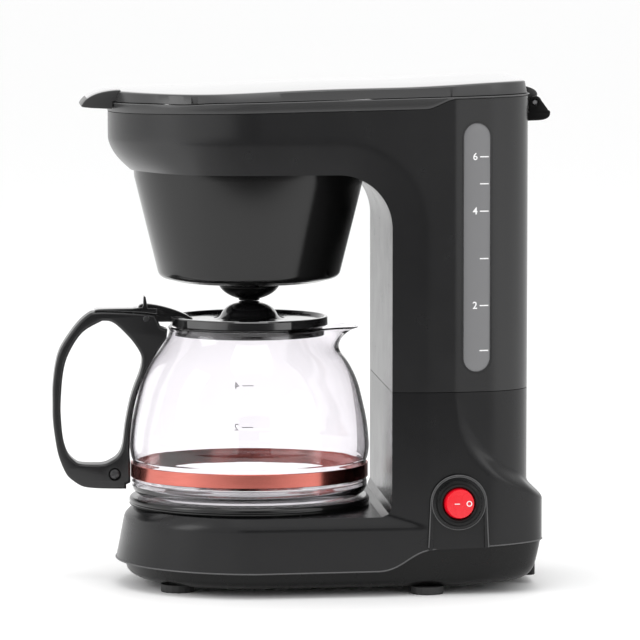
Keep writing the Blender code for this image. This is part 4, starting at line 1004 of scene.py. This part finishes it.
def gauge():
    """Smoked window set just below the wall, its frame line, and white cup marks."""
    window = on_facet(flat([stadium(-0.0001)], 0.0016, 0.0004, 2), -0.0019)
    finish(window, "window", LOOKS["smoked"], "machine", "gauge_plastic", "gauge_window", angle=30)
    rim = on_facet(flat([stadium(0.0003), list(reversed(stadium(-0.0005)))], 0.0011), -0.0010)
    finish(rim, "window_frame", LOOKS["gloss"], "machine", "black_gloss", angle=30)
    for cups, height in CUP_LINES.items():
        mark = flat([[(0.0016, height - 0.0003), (0.0064, height - 0.0003),
                      (0.0064, height + 0.0003), (0.0016, height + 0.0003)]], 0.00005)
        marked(mark, "cup_line_%d" % cups)
    for cups in (2, 4, 6):
        number = printed(str(cups), 0.0052)
        number.data.transform(Matrix.Translation((-0.0010, CUP_LINES[cups], 0)))
        marked(number, "cup_number_%d" % cups)


# ---------------------------------------------------------------- plate, funnel, valve

def hot_plate():
    """Enamelled plate with a raised rim, in a trim ring."""
    low, high = PLATE_BOX
    radius = high.x
    top = high.z
    lip = BASE_TOP + GAP
    skirt, wall = 0.0585, 0.002
    profile = ([(0, top - 0.0006)]
               + mm([(-9.5, -0.6), (-8, -0.2), (-7, 0), (-2.4, 0)], (radius, top))
               + arc((radius - 0.0018, top - 0.0018), 0.0018, 80, 0, 6)
               + mm([(0, 1.8), (-0.6, 1.2), (-0.6, 0.7), (0, 0.4), (-0.3, 0)], (radius, lip))
               + [(skirt, lip), (skirt, low.z), (skirt - wall, low.z), (skirt - wall, top - 0.003),
                  (0, top - 0.003)])
    finish(turned(profile, steps=160), "plate", LOOKS["enamel"], "machine", "coated_plate", "hot_plate")


def funnel():
    """Brew basket: glossy truncated cone with a rolled foot and a flange in the arm."""
    low, high = FUNNEL_BOX
    bottom = low.z
    wall = 0.0020
    outlet = 0.0055
    rest = ARM_BOTTOM + WALL + GAP
    top_r, low_r, floor_r = 0.0612, 0.0479, 0.0374
    profile = ([(top_r - wall, high.z - 0.0003), (top_r - wall / 2, high.z), (top_r, high.z - 0.0003),
                (top_r, rest + wall), (high.x, rest + wall), (high.x, rest), (top_r, rest),
                (top_r - 0.0006, ARM_BOTTOM - 0.004)]
               + bend(*mm([(0.4, 165.5), (-0.2, 163.2), (-2, 162.2), (-4, 161.7)], (low_r, 0)), 8)
               + bend((low_r - 0.0060, 0.1613), (floor_r + 0.0020, bottom + 0.0006),
                      (floor_r + 0.0010, bottom), (floor_r - 0.0020, bottom), 6)
               + [(0.0190, bottom), (0.0184, bottom + 0.0005), (outlet, bottom + 0.0005),
                  (outlet, bottom + wall), (floor_r - 0.0005, bottom + wall), (low_r - wall, 0.1639 + wall),
                  (top_r - wall - 0.0006, ARM_BOTTOM)])
    finish(turned(profile, steps=160), "basket", LOOKS["basket"], "machine", "black_matte", "brew_funnel")


def drip_valve():
    """Ribbed bell of the drip stop, its stem and its sealing head."""
    low, high = VALVE_BOX
    bottom = low.z
    foot = (0, bottom)
    head, stem = 0.0080, 0.0025
    profile = ([(0, high.z), (head, high.z - 0.0006), (head, high.z - 0.0020), (stem, high.z - 0.0020),
                (stem, bottom + 0.0022)]
               + bend(*mm([(5.9, 2.2), (10, 3), (12.5, 4.6), (14.2, 7.9)], foot), 8)
               + mm([(15.2, 8), (15.6, 7.6)], foot)
               + bend(*mm([(15.6, 7.2), (14, 4.4), (10, 2.2), (6.4, 1.2)], foot), 12)
               + arc((0.0050, bottom + 0.0006), 0.0006, 40, -90, 4) + [(0, bottom)])
    finish(turned(profile, steps=96), "valve_bell", LOOKS["deep"], "valve", "silicone", "drip_valve")


# ---------------------------------------------------------------- carafe

RIM_R = 0.0430
RIM_TOP = GLASS_HIGH.z
GLASS_R = GLASS_HIGH.x
SPOUT_TIP = 0.0585
BAND_LOW, BAND_HIGH = node_box("carafe_band")[0].z, node_box("carafe_band")[1].z
LID_PIN = middle_of(PIN_BOX)


def eased(a, b, c, d, t):
    """Value between b and c on a smooth run through four values."""
    return 0.5 * (2 * b + (c - a) * t + (2 * a - 5 * b + 4 * c - d) * t * t
                  + (3 * b - a - 3 * c + d) * t ** 3)


def soft_path(points, steps):
    """A smooth run through a short list of points."""
    made = [points[0]]
    padded = [points[0]] + points + [points[-1]]
    for a, b, c, d in zip(padded, padded[1:], padded[2:], padded[3:]):
        for step in range(1, steps + 1):
            t = step / steps
            made.append(tuple(eased(a[k], b[k], c[k], d[k], t) for k in (0, 1)))
    return made


def glass_wall():
    """Outer profile of the carafe from rim to foot, as (radius, height)."""
    low = GLASS_LOW.z
    side = (GLASS_R, 0)
    return soft_path([(RIM_R, RIM_TOP - 0.0006), (RIM_R - 0.0006, 0.1335), (RIM_R + 0.0008, 0.1297)]
                     + mm([(47.4, 124), (53, 116), (57.2, 107), (60, 96.6), (62.4, 85)])
                     + mm([(-0.1, 74.5), (-0.3, 70), (-0.8, 67.2)], side)
                     + [(GLASS_R - 0.0015, BAND_HIGH + 0.0006), (GLASS_R - 0.0015, BAND_LOW - 0.0006)]
                     + mm([(-1.2, 54.5), (-1.2, 52), (-2.4, 49.4)], side)
                     + [(GLASS_R - 0.0050, low + 0.0006), (GLASS_R - 0.0075, low)], 5)


def pour(item):
    """Draw the back of the rim out into a pouring lip."""
    start_z = 0.1225
    for vert in item.data.vertices:
        y = vert.co.y - BREW_Y
        reach = math.hypot(vert.co.x, y)
        if reach < 0.02:
            continue
        angle = math.atan2(vert.co.x, y)
        lift = max(0.0, min(1.0, (vert.co.z - start_z) / (RIM_TOP - start_z)))
        pull = (SPOUT_TIP - RIM_R) * lift ** 1.7 * hill(angle, 0, 0.40)
        vert.co.y += pull * y / reach
        vert.co.x += pull * vert.co.x / reach * 0.4
        vert.co.z -= 0.0008 * lift * hill(angle, 0, 0.25)
    return item


def glass():
    """Blown carafe with a waist for the band, a thick foot and a spout."""
    outer = glass_wall()
    wall = 0.0019
    floor = GLASS_LOW.z + 0.0026
    inner = [(r - wall, z) for r, z in outer if z > floor + 0.0030]
    inner += [(inner[-1][0] - 0.0016, floor + 0.0012), (inner[-1][0] - 0.0050, floor)]
    rim = arc((RIM_R - wall / 2, RIM_TOP - wall / 2), wall / 2, 20, 160, 6)
    kick = [(0.052, GLASS_LOW.z), (0.049, GLASS_LOW.z + 0.0008), (0.020, GLASS_LOW.z + 0.0010),
            (0, GLASS_LOW.z + 0.0010)]
    centre = [(0, floor + 0.0012), (0.020, floor + 0.0010), (0.045, floor + 0.0003)]
    profile = centre + list(reversed(inner)) + list(reversed(rim)) + outer + kick
    body = pour(turned(profile, steps=192))
    finish(body, "glass_jug", LOOKS["glass"], "carafe", "glass", "carafe_glass", angle=60)


def cup_marks():
    """Grey cup marks printed on the jug's far side."""
    mark_ink = LOOKS["grey_ink"]
    for cups, height in ((4, 0.0980), (2, 0.0752)):
        near = min(glass_wall(), key=lambda p: abs(p[1] - height))
        number = printed(str(cups), 0.0054, 0.00003, 0.0)
        number.data.transform(Matrix.Translation((0.0030, 0, 0)))
        dash = flat([[(-0.0062, -0.0002), (0.0, -0.0002), (0.0, 0.0002), (-0.0062, 0.0002)]], 0.00003)
        for name, item in (("number", number), ("line", dash)):
            item.rotation_euler = (math.pi / 2, 0, -math.pi / 2)
            item.location = (0, BREW_Y, height)
            made = applied(item)
            for vert in made.data.vertices:
                y = vert.co.y - BREW_Y
                depth = vert.co.x
                vert.co.x = -math.sqrt(max(near[0] ** 2 - y * y, 0.0)) - 0.00012 + depth
            finish(made, "jug_%s_%d" % (name, cups), mark_ink, "carafe", "glass")


def band():
    """Rolled metal band in the jug's waist."""
    inner = GLASS_R - 0.0014 + GAP * 0.3
    outer = inner + 0.0007
    edge = 0.0002
    profile = [(inner, BAND_HIGH), (outer - edge, BAND_HIGH), (outer, BAND_HIGH - edge),
               (outer, BAND_LOW + edge), (outer - edge, BAND_LOW), (inner, BAND_LOW)]
    finish(turned(profile, steps=192), "jug_band", LOOKS["copper"], "carafe", "copper_band", "carafe_band")


def handle():
    """Loop handle with soft edges round its outline and finger hole, forked for the lid's pin."""
    front = node_box("carafe_handle")[0].y - BREW_Y
    foot = -(GLASS_R - 0.0014 + GAP + 0.0006) - GAP
    grip = mm([(-50, 142.8), (-60, 143.9), (-74, 144.6), (-81, 144.5), (-84.6, 143.7), (-89.9, 139.4),
               (-95.5, 132.3), (-100.3, 124.4), (-102.7, 115.9)])
    grip += mm([(0, 105.2), (-0.1, 96.7), (0, 87.1)], (front, 0))
    grip += mm([(-102.9, 77.5), (-101.1, 68.1), (-97.3, 59), (-93.5, 55.1), (-88.7, 52.2), (-83.1, 51.2),
                (-74.5, 50.8), (-65.5, 50.7)])
    side = (-0.0606, 0.0966)
    outer = (soft_path(grip, 4)
             + [(-0.0655, 0.0530), (foot, 0.0540), (foot, BAND_HIGH + 0.0010)]
             + bend((foot - 0.0003, 0.0680), (foot - 0.0007, 0.0790), (-0.0622, 0.0900), side, 8)
             + bend(side, (-0.0585, 0.1060), (-0.0530, 0.1180), (-0.0440, 0.1302), 10)[1:]
             + [(-0.0436, 0.1350), (-0.0470, 0.1362)])
    gap = mm([(-78, 139.8), (-88.3, 133.8), (-95.5, 122.9), (-98.6, 112.4), (-99.9, 96.7), (-99.7, 87.1),
              (-98.7, 77.6), (-96.3, 69.9), (-92.5, 65.6), (-88.7, 64), (-78.3, 63.8), (-73.6, 65.4),
              (-69.8, 68.2), (-67.4, 73.4), (-65.9, 84.6), (-63.6, 96.3), (-61.1, 104.5), (-58.2, 112),
              (-57, 117.8), (-57.7, 122.1), (-61.5, 128.3), (-66.2, 133.6), (-70.8, 137.9), (-74.2, 139.6),
              (-78, 139.8)])
    hole = soft_path(gap, 4)[:-1]
    half = 0.0075
    body = side_prism([outer, hole], half, 0.0, 0.0014, 4)
    u, z = LID_PIN
    body = cut(body, box((-0.0039, u - 0.0065, z - 0.0055), (0.0039, u + 0.02, z + 0.02)))
    body = cut(body, rod(PIN_HOLE, (-0.02, u, z), (0.02, u, z), 40))
    screw = middle_of(SCREW_BOX)
    sink = 0.0025
    body = cut(body, rod(0.0034, (half - sink, *screw), (half + 0.01, *screw), 64))
    finish(body, "grip", LOOKS["satin"], "carafe", "black_gloss", "carafe_handle", angle=32)
    low = half - sink + GAP
    head = turned(mm([(0, 1.4), (1.8, 1.3), (2.7, 0.9), (3.1, 0.3), (3.1, 0), (0, 0)]),
                  (low, *screw), 48, ONTO_SIDE)
    for turn in (0.35, 0.35 + math.pi / 2):
        slot = box((low + 0.0006, -0.0019, -0.00035), (low + 0.003, 0.0019, 0.00035))
        slot.data.transform(Matrix.Translation((0, -BREW_Y, 0)))
        slot.data.transform(Matrix.Rotation(turn, 4, "X"))
        slot.data.transform(Matrix.Translation((0, BREW_Y + screw[0], screw[1])))
        head = cut(head, slot)
    finish(head, "grip_screw", LOOKS["screw"], "carafe", "steel", "handle_screw")


def jug_lid():
    """Dished lid with a domed centre, a hinge hump and a thumb lever over the handle."""
    top = 0.1418
    under = RIM_TOP + GAP
    dome = node_box("carafe_lid")[1].z
    radius = 0.0418
    skirt = RIM_R - 0.0020 - 0.0018
    profile = ([(0, dome), (0.0046, dome), (0.0054, dome - 0.0003)]
               + bend((0.0058, dome - 0.0008), (0.0100, dome - 0.0014), (0.0135, dome - 0.0036),
                      (0.0150, top + 0.0004), 10)
               + bend(*mm([(15.8, -0.6), (16.4, -1.4), (18, -1.8), (20, -1.8)], (0, top)), 4)
               + [(0.0360, top - 0.0016)]
               + mm([(-2.4, -1.4), (-2, -0.2), (-1.4, 0), (-0.4, -0.2), (0, -0.8)], (radius, top))
               + [(radius, under + 0.0006), (radius - 0.0006, under), (skirt, under),
                  (skirt, under - 0.0050), (skirt - 0.0015, under - 0.0050), (skirt - 0.0015, under + 0.0012),
                  (0.0160, under + 0.0012), (0.0060, dome - 0.0030), (0, dome - 0.0030)])
    body = turned(profile, steps=160)
    u, z = LID_PIN
    hump = (bend((-0.0300, top - 0.0014), (-0.0360, z + 0.0040), (-0.0480, z + 0.0072),
                 (u + 0.001, z + 0.0076), 12)
            + bend(*mm([(-1, 7.7), (-4, 7.6), (-5, 6), (-4, 2)], LID_PIN), 6)
            + arc((u, z), 0.0040, 170, 300, 12) + [(-0.0480, top - 0.0030), (-0.0400, top - 0.0030)])
    body = join(body, side_prism([hump], 0.0036, 0.0, 0.0005, 3))
    lever = (mm([(-49, 146.2), (-53.8, 146.4), (-54.6, 150), (-55, 152.2), (-55.6, 152.8), (-56.2, 152.2),
                 (-56.4, 148), (-57, 146.8)])
             + soft_path(mm([(-62, 146.2), (-74, 146.1), (-80, 145.9), (-81.8, 145.4), (-81.8, 144.9),
                             (-80, 144.8), (-74, 144.9), (-60, 144.2), (-52, 143.4), (-49, 143)]), 3))
    body = join(body, side_prism([lever], 0.0066, 0.0, 0.0004, 2))
    body = cut(body, rod(PIN_HOLE, (-0.02, u, z), (0.02, u, z), 40))
    finish(body, "jug_lid", LOOKS["lid"], "carafe", "black_gloss", "carafe_lid", angle=32)
    pin = rod(PIN_R, (-0.0078, u, z), (0.0078, u, z), 40, 0.0003)
    finish(pin, "jug_pin", LOOKS["screw"], "carafe", "steel", "carafe_lid_pin")


# ---------------------------------------------------------------- switch

def switch():
    """Bezel ring and round rocker with the usual signs."""
    u, z = SWITCH
    face = PAD_X + GAP
    bore = 8.3
    profile = mm([(bore, 1.2), (bore + 0.6, 1.9), (bore + 1.4, 2.2), (10.4, 2.2), (11.4, 1.8), (12, 0.8),
                  (12, 0), (10.1, 0), (10.1, -15), (bore, -15)])
    ring = turned(profile, (face, u, z), 96, ONTO_SIDE)
    finish(ring, "bezel", LOOKS["deep"], "machine", "black_matte", "switch_bezel")

    pivot = PAD_X - 0.0004
    radius = 0.0080
    shape = bmesh.new()
    bmesh.ops.create_uvsphere(shape, u_segments=96, v_segments=64, radius=radius)
    shape.transform(Matrix.Translation((pivot, BREW_Y + u, z)))
    body = from_bmesh(shape, "rocker")
    reach = radius + 0.002
    raised, pressed, middle = 0.0052, 0.0020, 0.0028
    crown = bend((raised, -reach), (middle + 0.0007, -0.001), (middle - 0.0001, 0.001), (pressed, reach), 14)
    wedge = flat([[(-0.0045, -reach)] + crown + [(-0.0045, reach)]], reach)
    wedge.location = (pivot, BREW_Y + u, z)
    body = rounded(keep(body, applied(wedge)), 0.0004, 3, 40)
    finish(body, "rocker_cap", LOOKS["red"], "rocker", "red", "power_rocker", angle=35)

    def on_rocker(item, along, name):
        out = min(crown, key=lambda p: abs(p[1] - along))[0] + 0.00005
        item.rotation_euler = UPRIGHT
        item.location = (pivot + out, BREW_Y + u + along, z)
        made = applied(item)
        finish(made, name, LOOKS["white_ink"], "rocker", "red")

    thin = 0.00022
    dash = flat([[(-0.0014, -thin), (0.0014, -thin), (0.0014, thin), (-0.0014, thin)]], thin)
    on_rocker(dash, -0.0012, "sign_on")
    outside, hole = arc((0, 0), 0.0015, 0, 350, 30), arc((0, 0), 0.0010, 0, 350, 30)
    on_rocker(flat([outside, list(reversed(hole))], thin), 0.0052, "sign_off")


# ---------------------------------------------------------------- carried-over nodes

CARRIED = {
    "aluminium": ["heater_tube"],
    "steel": ["heater_clamp", "thermostat", "check_ball", "mesh_filter", "valve_spring"],
    "silicone": ["thermal_fuse", "inlet_hose", "riser_tube", "check_valve_body"],
    "matt": ["spray_head"],
    "rubber": ["cord_gland"],
}
for corner in (1, 2, 3, 4):
    CARRIED["rubber"].append("foot_%d" % corner)
    CARRIED["steel"].append("cover_screw_%d" % corner)


def carried():
    """Give the CAD nodes that stay their own materials."""
    for look, nodes in CARRIED.items():
        for node in nodes:
            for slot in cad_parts[node].material_slots:
                slot.material = LOOKS[look]


# ---------------------------------------------------------------- camera, lights, floor

def set_camera():
    """Long lens, nearly square to the machine's side and a little above it."""
    camera = new_object("camera", bpy.data.cameras.new("camera"))
    azimuth, elevation, roll = math.radians(85.5), math.radians(4.9), math.radians(0.02)
    distance = 2.68
    aim = Vector((0, BREW_Y + 0.0376, 0.1390))
    back = Vector((math.sin(azimuth) * math.cos(elevation), -math.cos(azimuth) * math.cos(elevation),
                   math.sin(elevation)))
    camera.location = aim + back * distance
    turn = (-back).to_track_quat("-Z", "Y").to_matrix()
    camera.rotation_euler = (turn @ Matrix.Rotation(roll, 3, "Z")).to_euler()
    camera.data.lens = 284.6
    camera.data.sensor_width = 36
    camera.data.clip_end = 50
    bpy.context.scene.camera = camera


def plain(name, color, roughness):
    made, _, shader = blank(name)
    shader.inputs["Base Color"].default_value = (*color, 1)
    shader.inputs["Roughness"].default_value = roughness
    return made


def aimed(item, location, aim, axis):
    """Place an item with one of its axes pointing at a place."""
    item.location = location
    item.rotation_euler = (Vector(aim) - Vector(location)).to_track_quat(axis, "Y").to_euler()


def card(name, size, location, aim, look):
    """A flat studio card turned to face a point."""
    shape = bmesh.new()
    bmesh.ops.create_grid(shape, x_segments=1, y_segments=1, size=0.5)
    shape.transform(Matrix.Diagonal((*size, 1, 1)))
    item = from_bmesh(shape, name)
    aimed(item, location, aim, "Z")
    item.data.materials.append(look)
    return item


def flag(name, size, location, aim):
    """A black card that only darkens what the plastic reflects."""
    item = card(name, size, location, aim, plain(name, (0.02, 0.02, 0.02), 1.0))
    item.visible_camera = False
    item.visible_shadow = False
    item.visible_diffuse = False
    return item


def area(name, size, location, aim, power):
    light = bpy.data.lights.new(name, "AREA")
    light.shape = "RECTANGLE"
    light.size, light.size_y = size
    light.energy = power
    aimed(new_object(name, light), location, aim, "-Z")


def studio():
    """White all round, black flags that only the plastic reflects, and soft lights."""
    world = bpy.data.worlds.new("studio")
    world.use_nodes = True
    world.node_tree.nodes["Background"].inputs["Color"].default_value = (1, 1, 1, 1)
    world.node_tree.nodes["Background"].inputs["Strength"].default_value = 1.0
    bpy.context.scene.world = world
    bpy.context.scene.view_settings.view_transform = "Standard"
    card("floor", (30, 30), (0, 0, 0), (0, 0, 1), plain("floor", (0.98, 0.98, 0.98), 0.6))
    flag("dark_card", (2.0, 1.7), (3.6, 0.08, 0.50), (0, 0.08, 0.2))
    flag("floor_flag", (2.84, 1.8), (1.94, -0.05, 0.002), (1.94, -0.05, 1.0))
    area("top_light", (1.2, 1.6), (0.4, 0, 1.9), (0, 0, 0.1), 14)
    area("floor_light", (1.8, 1.6), (1.7, 1.75, 0.8), (1.7, 1.75, 0), 14)
    area("front_light", (0.8, 1.4), (0.6, -1.8, 1.0), (0, 0, 0.12), 10)


set_camera()
studio()
carried()
upper_housing()
lower_housing()
bottom_cover()
seam_beads()
top_collar()
top_lid()
hinge_bracket()
gauge()
hot_plate()
funnel()
drip_valve()
glass()
cup_marks()
band()
handle()
jug_lid()
switch()
